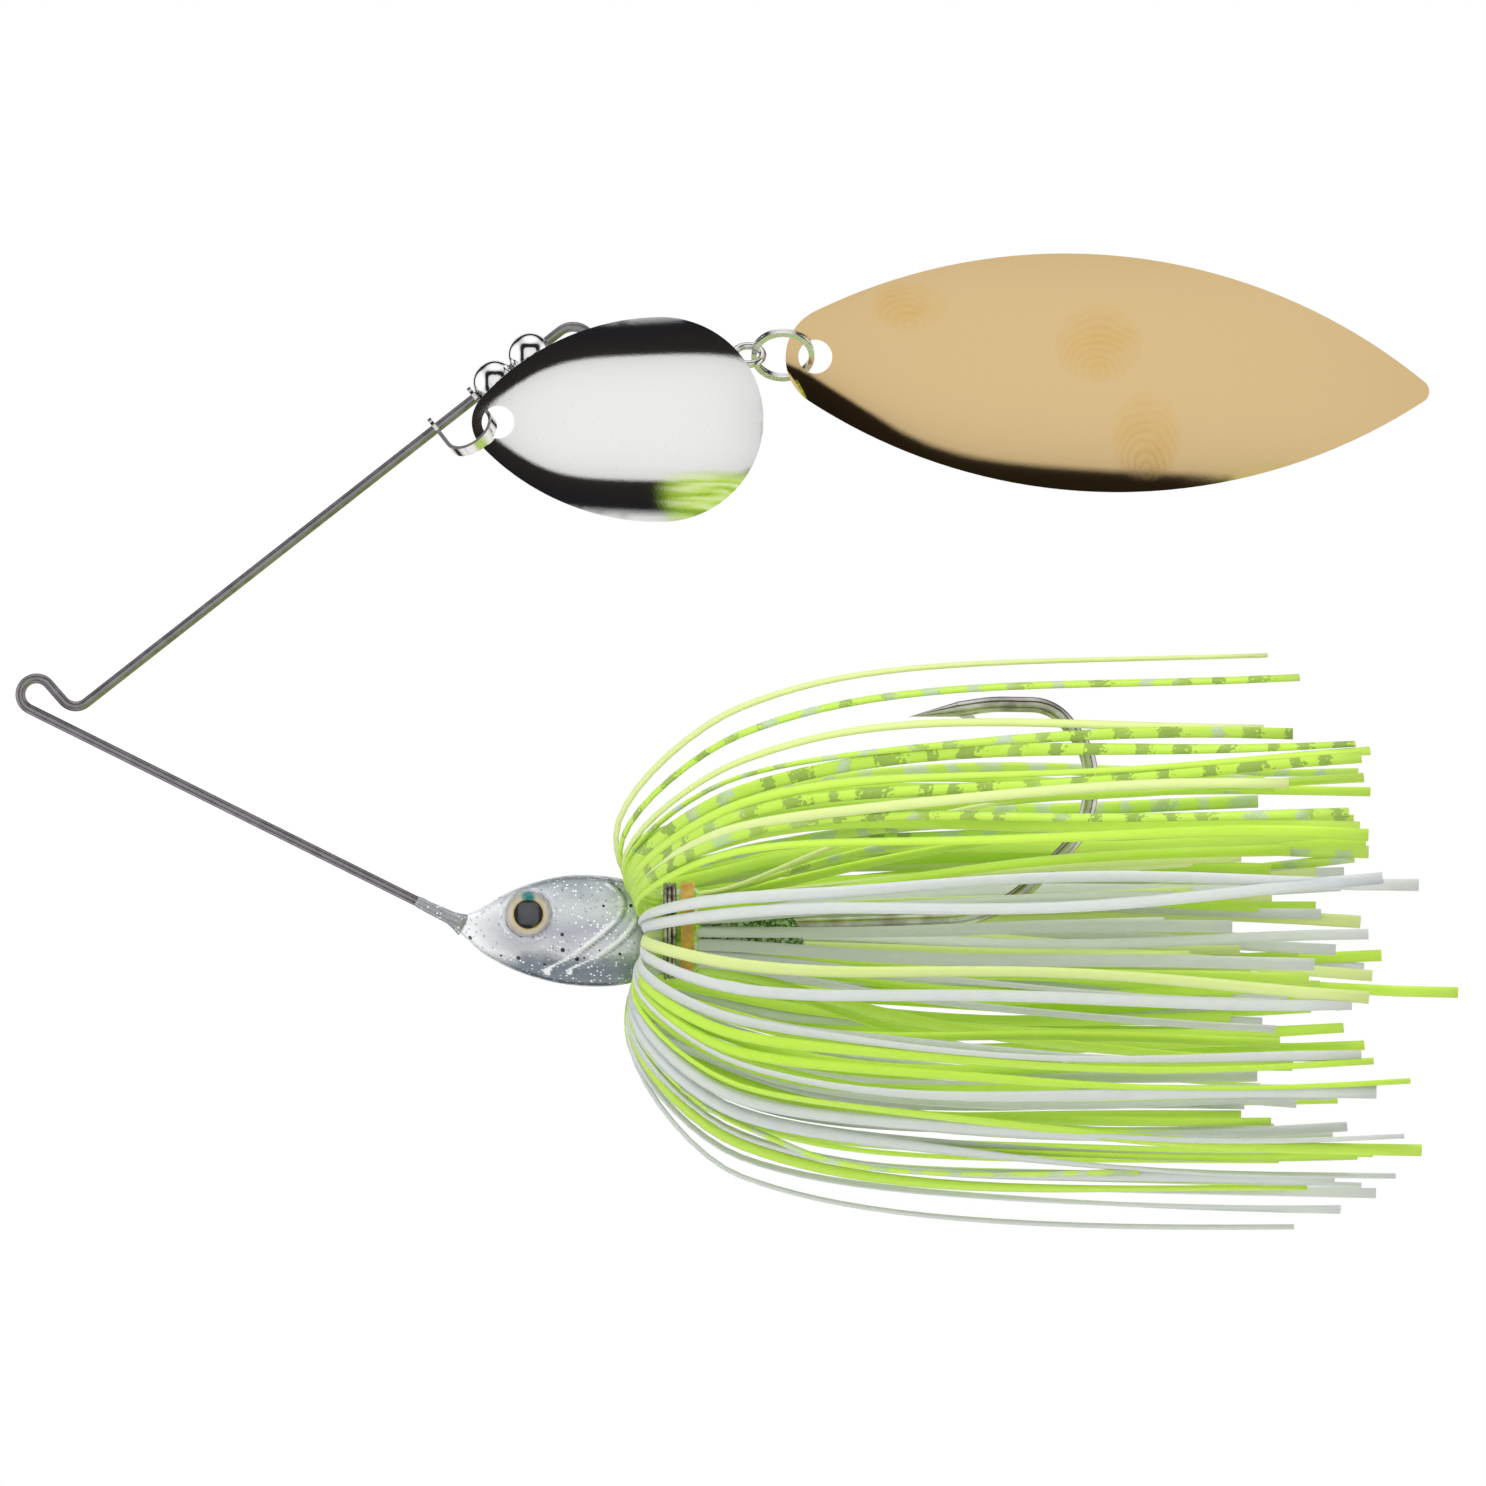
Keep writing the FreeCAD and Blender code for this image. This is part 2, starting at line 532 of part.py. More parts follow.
def front_blade():
    """The deep teardrop blade on the clevis."""
    w = FRONT_HALF_WIDTH
    tail = FRONT_LENGTH - w
    reach, half_way = flank(w, flank_radius(tail, w, FRONT_NOSE_R))
    start = tail - reach
    arcs = [
        ((start, 0), (tail - reach / 2, half_way), (tail, w)),
        ((tail, w), (FRONT_LENGTH, 0), (tail, -w)),
        ((tail, -w), (tail - reach / 2, -half_way), (start, 0)),
    ]
    face = outline_face(arcs, [(start, FRONT_NOSE_R)])
    return cupped_blade(face, FRONT_LENGTH, FRONT_CROSS_R, FRONT_LONG_R, FRONT_HOLE_D, FRONT_RIM)


def rear_blade():
    """The long leaf-shaped blade at the tail."""
    w = REAR_HALF_WIDTH
    middle = REAR_LENGTH * REAR_WIDEST
    radius = flank_radius(REAR_LENGTH - middle, w, REAR_TAIL_R)
    reach, _ = flank(w, radius)
    arcs = [
        ((middle - reach, 0), (middle, w), (middle + reach, 0)),
        ((middle + reach, 0), (middle, -w), (middle - reach, 0)),
    ]
    head_r = end_radius(middle, w, radius)
    face = outline_face(arcs, [(middle - reach, head_r), (middle + reach, REAR_TAIL_R)])
    return cupped_blade(face, REAR_LENGTH, REAR_CROSS_R, REAR_LONG_R, REAR_HOLE_D, REAR_RIM)


def rim_point(length, long_radius, rim):
    """The middle of the strip of metal between a blade's hole and its head end, in the blade's own axes."""
    x = rim / 2
    away = length * BLADE_CROWN - x
    return V(x, 0, math.sqrt(long_radius ** 2 - away ** 2) - long_radius - BLADE_T / 2)


def hung_front_blade():
    """The front blade lies beside the wire, threaded on the clevis' bend, its dome outwards."""
    turn = math.radians(FRONT_THREAD_ANGLE)
    out = CLEVIS_DOWN * math.cos(turn) + UPPER_WAY * math.sin(turn)
    behind, above = FRONT_HANG
    along, up = polar(1, FRONT_RISE), polar(1, FRONT_RISE + 90)
    hang = CLEVIS_BEND + out * CLEVIS_HALF_WIDTH - along * (behind + FRONT_RIM / 2) - up * above
    own = rim_point(FRONT_LENGTH, FRONT_LONG_R, FRONT_RIM)
    blade = front_blade()
    blade.translate(-own)
    return place(blade, along, V(0, -1, 0), hang)


def hung_rear_blade():
    """The rear blade trails from the split ring, its dome on the same side."""
    back = SPLIT_RING_R - SPLIT_RING_RADIAL / 2 - REAR_HANG_GAP - REAR_RIM / 2
    hang = SPLIT_RING_MIDDLE + V(back, REAR_SEAT, 0)
    blade = rear_blade()
    blade.translate(-rim_point(REAR_LENGTH, REAR_LONG_R, REAR_RIM))
    roll = math.radians(REAR_ROLL)
    return place(blade, polar(1, REAR_RISE), V(0, -math.cos(roll), -math.sin(roll)), hang)


# ---------------------------------------------------------------- the tail links


def solid_ring():
    return torus(RING_R, RING_D, RING_MIDDLE, V(0, 0, 1))


def swivel_eye(eye_x, eye_radius, normal, way):
    """An eye with its shaft, whose head turns on balls in the barrel; way is +1 for a shaft to +X."""
    eye = torus(eye_radius, SWIVEL_WIRE_D, V(eye_x, 0, TAIL_Z), normal)
    mouth = BARREL_X if way > 0 else BARREL_END_X
    head = mouth + way * (BARREL_END_WALL + BALL_D + 2 * LINK_GAP)
    shaft = rod(SWIVEL_WIRE_D / 2, V(eye_x + way * eye_radius, 0, TAIL_Z), V(head, 0, TAIL_Z))
    button = rod(SHAFT_HEAD_R, V(head, 0, TAIL_Z), V(head + way * SHAFT_HEAD_T, 0, TAIL_Z))
    return eye.fuse([shaft, button]).removeSplitter()


def swivel_barrel():
    """The barrel: a shell with rounded shoulders and a bore at each end."""
    half = BARREL_LENGTH / 2
    middle = V(BARREL_X + half, 0, TAIL_Z)
    reach = V(half, 0, 0)
    shell = rod(BARREL_D / 2, middle - reach, middle + reach)
    shoulders = [e for e in shell.Edges if e.Closed and abs(abs(e.CenterOfMass.x - middle.x) - half) < 1e-6]
    shell = shell.makeFillet(BARREL_D * 0.24, shoulders)
    inside = V(half - BARREL_END_WALL, 0, 0)
    shell = shell.cut(rod(BARREL_D / 2 - BARREL_WALL, middle - inside, middle + inside))
    return shell.cut(rod(SWIVEL_WIRE_D / 2 + TOUCH_GAP, middle - reach, middle + reach))


def bearing_balls():
    balls = []
    offset = BARREL_END_WALL + LINK_GAP + BALL_D / 2
    for x in (BARREL_X + offset, BARREL_END_X - offset):
        for n in range(BALLS_PER_END):
            around = math.radians(360 / BALLS_PER_END * n)
            spot = V(x, BALL_CIRCLE_R * math.cos(around), TAIL_Z + BALL_CIRCLE_R * math.sin(around))
            balls.append(Part.makeSphere(BALL_D / 2, spot))
    return Part.makeCompound(balls)


def split_ring():
    """Two turns of flat wire, pressed together, with the groove between the turns."""
    r, t, w, g = SPLIT_RING_R, SPLIT_RING_RADIAL / 2, SPLIT_RING_WIDTH / 2, SPLIT_RING_GROOVE
    side = [V(r - t, 0, -w), V(r + t, 0, -w), V(r + t, 0, -g), V(r + t - g, 0, 0), V(r + t, 0, g),
            V(r + t, 0, w), V(r - t, 0, w), V(r - t, 0, g), V(r - t + g, 0, 0), V(r - t, 0, -g)]
    ring = Part.Face(Part.makePolygon(side + side[:1])).revolve(V(0, 0, 0), V(0, 0, 1), 360)
    return place(ring, V(1, 0, 0), SPLIT_RING_NORMAL, SPLIT_RING_MIDDLE)


def main():
    wire, hook = wire_arm(), hook_wire()
    parts = {
        "wire_arm": wire,
        "hook": hook,
        "head": head_casting(wire, hook),
        "eye_foil_left": eye_foil(1),
        "eye_foil_right": eye_foil(-1),
        "eye_dome_left": eye_dome(1),
        "eye_dome_right": eye_dome(-1),
        "skirt_root": skirt_root(),
        "skirt_tie_wire": tie_wire(),
        "skirt_rubber_band": rubber_band(),
        "clevis": clevis(),
        "bead_lower": bead(LOWER_BEAD_AT),
        "bead_upper": bead(UPPER_BEAD_AT),
        "front_blade": hung_front_blade(),
        "solid_ring": solid_ring(),
        "swivel_front_eye": swivel_eye(FRONT_EYE_X, SWIVEL_EYE_R, V(0, 1, 0), 1),
        "swivel_barrel": swivel_barrel(),
        "swivel_bearing_balls": bearing_balls(),
        "swivel_rear_eye": swivel_eye(REAR_EYE_X, SWIVEL_REAR_EYE_R, REAR_EYE_NORMAL, -1),
        "split_ring": split_ring(),
        "rear_blade": hung_rear_blade(),
    }
    for colour, strands in strands_by_colour().items():
        parts["skirt_strands_" + colour] = Part.makeCompound(strands)
    os.makedirs("parts", exist_ok=True)
    for name, shape in parts.items():
        shape.exportStep(f"parts/{name}.step")
        valid = all(s.isValid() for s in shape.Solids)
        print(f"{name}: {len(shape.Solids)} solid(s), {shape.Volume:.2f} mm3, valid {valid}")
    return parts


main()
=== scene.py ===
import math
import random

import bmesh
import bpy
from mathutils import Matrix, Vector, geometry


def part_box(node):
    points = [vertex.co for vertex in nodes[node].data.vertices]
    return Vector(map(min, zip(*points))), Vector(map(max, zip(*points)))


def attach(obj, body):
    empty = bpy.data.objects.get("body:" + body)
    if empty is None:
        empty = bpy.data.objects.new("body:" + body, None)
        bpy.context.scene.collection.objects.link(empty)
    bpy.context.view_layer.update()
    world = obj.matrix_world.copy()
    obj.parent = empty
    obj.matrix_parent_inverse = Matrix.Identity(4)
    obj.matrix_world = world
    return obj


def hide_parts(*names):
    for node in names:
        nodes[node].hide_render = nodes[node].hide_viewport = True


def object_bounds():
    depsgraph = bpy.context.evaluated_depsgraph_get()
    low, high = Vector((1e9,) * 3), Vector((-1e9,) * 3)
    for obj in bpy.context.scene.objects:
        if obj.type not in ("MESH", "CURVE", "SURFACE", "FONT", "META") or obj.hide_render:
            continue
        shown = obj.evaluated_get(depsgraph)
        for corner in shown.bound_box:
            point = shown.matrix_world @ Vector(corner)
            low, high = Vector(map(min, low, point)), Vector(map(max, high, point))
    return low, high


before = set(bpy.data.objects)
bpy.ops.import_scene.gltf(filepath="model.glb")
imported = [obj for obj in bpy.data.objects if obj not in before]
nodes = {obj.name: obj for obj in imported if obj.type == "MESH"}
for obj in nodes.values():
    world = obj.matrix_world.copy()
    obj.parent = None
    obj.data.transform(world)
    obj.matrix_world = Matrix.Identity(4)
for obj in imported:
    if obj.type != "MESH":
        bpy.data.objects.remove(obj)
cad_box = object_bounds()
MM = 0.001

# ---------------------------------------------------------------------------- camera
# The lure is looked at square from its side, from so far that it has almost no perspective.
VIEW_WIDTH = 133.74 * MM
VIEW_MIDDLE = Vector((63.585, 0, -4.365)) * MM
CAMERA_AWAY = 1.5
lens_data = bpy.data.cameras.new("camera")
lens_data.sensor_width = 36.0
lens_data.lens = lens_data.sensor_width * CAMERA_AWAY / VIEW_WIDTH
lens_data.clip_start = 0.01
camera = bpy.data.objects.new("camera", lens_data)
camera.location = VIEW_MIDDLE - Vector((0, CAMERA_AWAY, 0))
camera.rotation_euler = (math.radians(90), 0, 0)
bpy.context.scene.collection.objects.link(camera)
bpy.context.scene.camera = camera


# ---------------------------------------------------------------------------- studio
# A white table under the lure and soft white light. The metal mirrors a broad pale card with rounded corners,
# in front of a dark room with a bright ceiling. A streaky yellow-green patch, low on one side, stands for the
# mirror image of the skirt in the blades.
class Value:
    """A socket of a node tree, or a number: arithmetic on it adds Math nodes."""

    def __init__(self, nodes_of, socket):
        self.nodes_of, self.socket = nodes_of, socket

    def math(self, operation, first, second=0.0):
        return self.nodes_of.add("ShaderNodeMath", {"operation": operation}, {0: first, 1: second})

    def __add__(self, other):
        return self.math("ADD", self, other)

    __radd__ = __add__

    def __sub__(self, other):
        return self.math("SUBTRACT", self, other)

    def __rsub__(self, other):
        return self.math("SUBTRACT", other, self)

    def __mul__(self, other):
        return self.math("MULTIPLY", self, other)

    __rmul__ = __mul__

    def __truediv__(self, other):
        return self.math("DIVIDE", self, other)

    def __lt__(self, other):
        return self.math("LESS_THAN", self, other)

    def __gt__(self, other):
        return self.math("GREATER_THAN", self, other)

    def __pow__(self, other):
        return self.math("POWER", self, other)

    def fraction(self):
        return self.math("FRACT", self)

    def larger(self, other):
        return self.math("MAXIMUM", self, other)


class Finish:
    """A node tree, with one method that adds any node."""

    def __init__(self, tree):
        self.tree = tree
        tree.nodes.clear()

    def add(self, kind, settings=None, sockets=None, out=0):
        node = self.tree.nodes.new(kind)
        for name, value in (settings or {}).items():
            if name == "stops":
                ramp = node.color_ramp
                while len(ramp.elements) < len(value):
                    ramp.elements.new(0.5)
                for element, (place, colour) in zip(ramp.elements, value):
                    element.position = place
                    element.color = (*(colour if isinstance(colour, tuple) else (colour,) * 3), 1.0)
            else:
                setattr(node, name, value)
        for name, value in (sockets or {}).items():
            if isinstance(value, Value):
                self.tree.links.new(value.socket, node.inputs[name])
            elif isinstance(value, tuple) and node.inputs[name].type == "RGBA":
                node.inputs[name].default_value = (*value, 1.0)
            else:
                node.inputs[name].default_value = value
        return Value(self, node.outputs[out] if len(node.outputs) else None)

    def mix(self, share, first, second):
        return self.add("ShaderNodeMix", {"data_type": "RGBA"}, {0: share, 6: first, 7: second}, 2)

    def ramp(self, share, stops, mode="LINEAR"):
        value = self.add("ShaderNodeValToRGB", {"stops": stops}, {0: share})
        value.socket.node.color_ramp.interpolation = mode
        return value


class Material(Finish):
    """A surface: its Principled sockets are set by name, numbers directly and patterns as links."""

    def __init__(self, name, **sockets):
        self.data = bpy.data.materials.new(name)
        self.data.use_nodes = True
        super().__init__(self.data.node_tree)
        self.surface = self.add("ShaderNodeBsdfPrincipled").socket.node
        self.output = self.tree.nodes.new("ShaderNodeOutputMaterial")
        self.tree.links.new(self.surface.outputs[0], self.output.inputs["Surface"])
        self.set({name.replace("_", " "): value for name, value in sockets.items()})

    def set(self, sockets):
        for name, value in sockets.items():
            if isinstance(value, Value):
                self.tree.links.new(value.socket, self.surface.inputs[name])
            elif isinstance(value, tuple) and self.surface.inputs[name].type == "RGBA":
                self.surface.inputs[name].default_value = (*value, 1.0)
            else:
                self.surface.inputs[name].default_value = value

    def place(self):
        return self.add("ShaderNodeTexCoord", {}, {}, 3)

    def axes(self):
        split = self.add("ShaderNodeSeparateXYZ", {}, {0: self.place()}).socket.node
        return [Value(self, socket) for socket in split.outputs]

    def noise(self, scale, detail=3.0, vector=None):
        sockets = {"Vector": vector or self.place(), "Scale": scale, "Detail": detail}
        return self.add("ShaderNodeTexNoise", {}, sockets)

    def cells(self, scale):
        """Scattered cells: the distance from each cell's middle, and two random values of each cell."""
        cell = self.add("ShaderNodeTexVoronoi", {}, {"Vector": self.place(), "Scale": scale}).socket.node
        random_colour = Value(self, cell.outputs[1])
        pick = self.add("ShaderNodeSeparateColor", {}, {0: random_colour}).socket.node
        return Value(self, cell.outputs[0]), Value(self, pick.outputs[0]), Value(self, pick.outputs[1])

    def bump(self, height, strength, distance):
        sockets = {"Height": height, "Strength": strength, "Distance": distance}
        return self.add("ShaderNodeBump", {}, sockets)

    def wear(self, node):
        """Gives this finish to a CAD node in place of its plain one."""
        for slot in nodes[node].material_slots:
            slot.material = self.data


bpy.context.scene.view_settings.view_transform = "Standard"
room = bpy.data.worlds.new("studio")
room.use_nodes = True
bpy.context.scene.world = room
walls = Finish(room.node_tree)
CARD_HALF_WIDTH, CARD_HALF_HEIGHT, CARD_RISE = 0.54, 0.575, 0.03     # as parts of a sphere's radius
direction = walls.add("ShaderNodeTexCoord", {}, {}, 0)
split = walls.add("ShaderNodeSeparateXYZ", {}, {0: direction}).socket.node
sideways, upwards = Value(walls, split.outputs[0]), Value(walls, split.outputs[2])
off_card = (sideways / CARD_HALF_WIDTH) ** 4 + ((upwards - CARD_RISE) / CARD_HALF_HEIGHT) ** 4
mirrored = walls.ramp(off_card / 10, [
    (0.0, 0.90), (0.06, 0.80), (0.09, 0.72), (0.112, (0.022, 0.018, 0.016)),
    (0.36, (0.012, 0.012, 0.016)), (0.47, 0.75), (0.70, 1.15)])
stretched = walls.add("ShaderNodeMapping", {}, {"Vector": direction, "Scale": (2.0, 9.0, 26.0)})
streak = walls.add("ShaderNodeTexNoise", {}, {"Vector": stretched, "Scale": 1.0})
GREEN_SIDEWAYS, GREEN_UPWARDS, GREEN_HALF_WIDTH, GREEN_HALF_HEIGHT = 0.46, -0.70, 0.36, 0.26
off_green = (((sideways - GREEN_SIDEWAYS) / GREEN_HALF_WIDTH) ** 4
             + ((upwards - GREEN_UPWARDS) / GREEN_HALF_HEIGHT) ** 4)
green_share = (1 - off_green) * (0.5 + streak * 1.2)
mirrored = walls.mix(green_share, mirrored, walls.ramp(streak, [
    (0.38, (0.30, 0.50, 0.03)), (0.50, (0.50, 0.74, 0.08)), (0.62, (0.74, 0.86, 0.42))]))
rays = walls.add("ShaderNodeLightPath").socket.node
seen_by_camera, seen_in_metal = Value(walls, rays.outputs[0]), Value(walls, rays.outputs[3])
wall_colour = walls.mix(seen_in_metal, (0.62, 0.62, 0.62), mirrored)
wall_colour = walls.mix(seen_by_camera, wall_colour, (1.0, 1.0, 1.0))
background = walls.add("ShaderNodeBackground", {}, {"Color": wall_colour, "Strength": 1.0})
walls.add("ShaderNodeOutputWorld", {}, {"Surface": background})


def softbox(name, place, aim, side, power):
    lamp_data = bpy.data.lights.new(name, "AREA")
    lamp_data.size, lamp_data.energy = side, power
    lamp = bpy.data.objects.new(name, lamp_data)
    lamp.location = place
    lamp.rotation_euler = (Vector(aim) - Vector(place)).to_track_quat("-Z", "Y").to_euler()
    lamp.visible_glossy = False
    bpy.context.scene.collection.objects.link(lamp)


softbox("key_light", (-0.15, -0.6, 0.55), VIEW_MIDDLE, 0.35, 3.3)
softbox("top_light", (0.10, 0.05, 0.60), VIEW_MIDDLE, 0.40, 1.7)

# The table is a round white board, far enough below the lure that its shadow stays soft and out of sight.
TABLE_BELOW, TABLE_R = 56 * MM, 240 * MM
table_mesh = bmesh.new()
bmesh.ops.create_circle(table_mesh, cap_ends=True, segments=96, radius=TABLE_R)
bmesh.ops.translate(table_mesh, vec=(VIEW_MIDDLE.x, 0, cad_box[0].z - TABLE_BELOW), verts=table_mesh.verts)
table_data = bpy.data.meshes.new("table")
table_mesh.to_mesh(table_data)
table = bpy.data.objects.new("table", table_data)
bpy.context.scene.collection.objects.link(table)
table.visible_glossy = False
table_white = Material("table_white", Base_Color=(0.93, 0.93, 0.93), Roughness=0.9)
table_data.materials.append(table_white.data)

# ---------------------------------------------------------------------------- wire arm
# One length of drawn stainless spring wire, bent into the line tie and the end eye. It is satin, with fine
# drawing lines, and its tone is mottled a little darker and lighter at random.
spring_wire = Material("spring_wire", Metallic=1.0)
drawn = spring_wire.noise(900, 4.0)
spring_wire.set({
    "Base Color": spring_wire.ramp(drawn, [(0.30, (0.24, 0.225, 0.24)), (0.62, (0.35, 0.325, 0.35))]),
    "Roughness": 0.22 + drawn * 0.25,
    "Normal": spring_wire.bump(spring_wire.noise(2600, 2.0), 0.25, 0.00002),
})
spring_wire.wear("wire_arm")

# ---------------------------------------------------------------------------- hook
# A forged hook of bright tinned wire, mottled darker in places at random, with a ground point and a cut barb.
hook_tin = Material("hook_tin", Metallic=1.0)
tin_cloud = hook_tin.noise(420, 5.0)
hook_tin.set({
    "Base Color": hook_tin.ramp(tin_cloud, [(0.32, (0.33, 0.30, 0.27)), (0.60, (0.66, 0.64, 0.60))]),
    "Roughness": 0.10 + tin_cloud * 0.22,
    "Normal": hook_tin.bump(hook_tin.noise(1800, 3.0), 0.2, 0.00002),
})
hook_tin.wear("hook")


# ---------------------------------------------------------------------------- head
# A cast lead minnow head, painted pearl white over blue grey, with black and silver glitter under a clear
# coat. Two gill plates are raised on each cheek, and the paint runs a little way up the wire.
def smooth_between(stations, at, column):
    """A smooth curve through given stations, each (place, value, ...)."""
    last = len(stations) - 1
    if at <= stations[0][0]:
        return stations[0][column]
    if at >= stations[last][0]:
        return stations[last][column]
    left = max(i for i in range(last) if stations[i][0] <= at)
    ends = [stations[min(max(left + step, 0), last)] for step in (-1, 0, 1, 2)]
    places, values = [e[0] for e in ends], [e[column] for e in ends]
    span = places[2] - places[1]
    share = (at - places[1]) / span
    slopes = [(values[k + 2] - values[k]) / max(places[k + 2] - places[k], 1e-9) * span for k in (0, 1)]
    square, cube = share ** 2, share ** 3
    return ((2 * cube - 3 * square + 1) * values[1] + (cube - 2 * square + share) * slopes[0]
            + (3 * square - 2 * cube) * values[2] + (cube - square) * slopes[1])


def ringed_tube(corners, rings, layer=None):
    """A capped tube made ring by ring from a circle of radius 1, with its rows of corners for placing."""
    mesh = bmesh.new()
    if layer:
        mesh.verts.layers.float.new(layer)
    bmesh.ops.create_circle(mesh, cap_ends=True, segments=corners, radius=1.0)
    end = list(mesh.edges)
    rows = [list(mesh.verts)]
    for _ in range(rings - 1):
        grown = bmesh.ops.extrude_edge_only(mesh, edges=end)["geom"]
        end = [g for g in grown if isinstance(g, bmesh.types.BMEdge)]
        rows.append([g for g in grown if isinstance(g, bmesh.types.BMVert)])
    bmesh.ops.contextual_create(mesh, geom=end)
    return mesh, rows


def add_piece(mesh, name, finish, body):
    """Links a finished bmesh as a piece that rides on a body."""
    data = bpy.data.meshes.new(name)
    mesh.to_mesh(data)
    mesh.free()
    data.polygons.foreach_set("use_smooth", [True] * len(data.polygons))
    data.materials.append(finish.data)
    piece = bpy.data.objects.new(name, data)
    bpy.context.scene.collection.objects.link(piece)
    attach(piece, body)
    return piece


tie_low, tie_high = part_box("skirt_tie_wire")
AXIS_Z = (tie_low.z + tie_high.z) / 2
NOSE_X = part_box("head")[0].x
HEAD_SIDES, HEAD_STEP = 132, 0.15
HEAD_STATIONS = (       # behind the nose, centre's height, half height, half width, in mm
    (0.0, 0.55, 0.62, 0.62), (0.8, 0.40, 1.18, 1.02), (2.0, 0.10, 2.00, 1.60), (3.6, 0.10, 2.95, 2.25),
    (5.4, 0.12, 3.80, 2.85), (7.4, 0.12, 4.45, 3.30), (9.6, 0.10, 4.90, 3.65), (12.2, 0.02, 5.02, 3.85),
    (14.4, -0.05, 4.84, 3.75), (15.8, -0.08, 4.45, 3.50), (16.6, -0.10, 3.80, 3.10), (16.95, -0.10, 2.9, 2.5),
)
GILL_INNER = ((-3.4, 8.4), (-2.1, 10.7), (0.5, 14.0), (1.9, 14.9), (3.4, 14.7), (4.9, 13.0))
GILL_OUTER = ((-3.4, 10.4), (-2.1, 13.1), (-0.15, 15.5), (1.9, 16.5), (3.4, 16.2), (4.9, 14.2))
EYE_BACK, EYE_UP, EYE_RIM, SOCKET_R = 6.3, 1.55, 2.18, 2.12


def gill_lip(behind, up):
    """How far the cheek stands out: each plate ends in a rounded lip and falls off behind it."""
    rise = 0.0
    for edge, height_mm in ((GILL_INNER, 0.26), (GILL_OUTER, 0.22)):
        inside = (smooth_between(edge, up, 1) - behind) * 0.75
        step = min(max((inside + 0.16) / 0.34, 0.0), 1.0)
        rise += height_mm * step * step * (3 - 2 * step) * math.exp(-max(inside, 0.0) / 1.7)
    return rise * min(1.0, max(0.0, (up + 3.9) / 0.9)) * min(1.0, max(0.0, (5.2 - up) / 0.8))


def gill_mark(behind, up):
    """Where the lips catch the light (above 0.5) and the grooves behind them lie in shade (below 0.5)."""
    if not -3.9 < up < 5.2:
        return 0.5
    mark = 0.0
    for edge, fade in ((GILL_INNER, 1.0), (GILL_OUTER, 0.9)):
        past = (behind - smooth_between(edge, up, 1)) * 0.75
        lit = 1.0 if up < 1.0 else 0.35
        ridge = math.exp(-((past + 0.30) / 0.24) ** 2)
        groove = math.exp(-((past - 0.10) / 0.15) ** 2)
        mark += fade * (lit * ridge - 0.9 * groove)
    return 0.5 + mark / 2


HEAD_LENGTH = HEAD_STATIONS[-1][0]
HEAD_RINGS = round(HEAD_LENGTH / HEAD_STEP) + 1
head_mesh, head_rows = ringed_tube(HEAD_SIDES, HEAD_RINGS, "lip")
lip_layer = head_mesh.verts.layers.float["lip"]
for ring, row in enumerate(head_rows):
    behind = min(ring * HEAD_STEP, HEAD_LENGTH)
    centre, tall, wide = (smooth_between(HEAD_STATIONS, behind, column) for column in (1, 2, 3))
    for vert in row:
        spoke = Vector((vert.co.x, vert.co.y, 0)).normalized()
        up, out = centre + tall * spoke.y, wide * spoke.x
        side = abs(spoke.x)
        lift = gill_lip(behind, up) * min(1.0, side * 1.6)
        off_eye = math.hypot(behind - EYE_BACK, up - EYE_UP)
        lift += 0.14 * math.exp(-((off_eye - EYE_RIM - 0.15) / 0.16) ** 2) * min(1.0, side * 2)
        out += math.copysign(lift, out) if side > 0.02 else 0.0
        up += lift * 0.25 * spoke.y
        vert[lip_layer] = gill_mark(behind, up)
        vert.co = Vector((NOSE_X + behind * MM, -out * MM, AXIS_Z + up * MM))
for eye_side in ("left", "right"):
    foil_low, foil_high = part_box("eye_foil_" + eye_side)
    floor_y = min(abs(foil_low.y), abs(foil_high.y)) - 0.06 * MM
    for vert in head_mesh.verts:
        off_eye = math.hypot(vert.co.x - NOSE_X - EYE_BACK * MM, vert.co.z - AXIS_Z - EYE_UP * MM)
        if off_eye < SOCKET_R * MM and vert.co.y * (foil_low.y + foil_high.y) > 0:
            vert.co.y = math.copysign(floor_y, vert.co.y)
bmesh.ops.recalc_face_normals(head_mesh, faces=head_mesh.faces)

pearl = Material("pearl_paint", Metallic=0.30, Coat_Roughness=0.06, Coat_Weight=1.0)
along_x, _, up_z = pearl.axes()
level = (up_z - AXIS_Z) / MM
cloud = pearl.noise(320, 4.0)
# The colour follows height alone: darkest along the bottom, dark along the top, and pale in two bands
# between.
body_colour = pearl.ramp(level * 0.09 + 0.5 + (cloud - 0.5) * 0.22, [
    (0.05, (0.10, 0.13, 0.16)), (0.21, (0.12, 0.16, 0.20)), (0.27, (0.25, 0.28, 0.32)),
    (0.34, (0.64, 0.64, 0.67)), (0.43, (0.55, 0.56, 0.61)), (0.50, (0.42, 0.43, 0.49)),
    (0.60, (0.50, 0.53, 0.56)), (0.72, (0.66, 0.68, 0.71)), (0.83, (0.32, 0.36, 0.39)),
    (0.94, (0.20, 0.235, 0.26))])
# The front of the nose is nearly white.
nose_share = pearl.ramp((along_x - NOSE_X) / (6.0 * MM), [(0.15, 1.0), (0.95, 0.0)])
body_colour = pearl.mix(nose_share, body_colour, (0.98, 0.99, 1.0))
lip = pearl.add("ShaderNodeAttribute", {"attribute_name": "lip"}, {}, 2)
broken = pearl.noise(1500, 3.0)
lit_lip = pearl.ramp(lip + (broken - 0.5) * 0.5, [(0.58, 0.0), (0.85, 0.9)])
shaded_groove = pearl.ramp(lip + (broken - 0.5) * 0.4, [(0.12, 0.75), (0.42, 0.0)])
body_colour = pearl.mix(lit_lip, body_colour, (0.93, 0.94, 0.95))
body_colour = pearl.mix(shaded_groove, body_colour, (0.09, 0.11, 0.12))
# Towards the neck the colour turns partly green.
rear_place = (along_x - NOSE_X - 12 * MM) / (6 * MM) + (cloud - 0.5) * 0.5
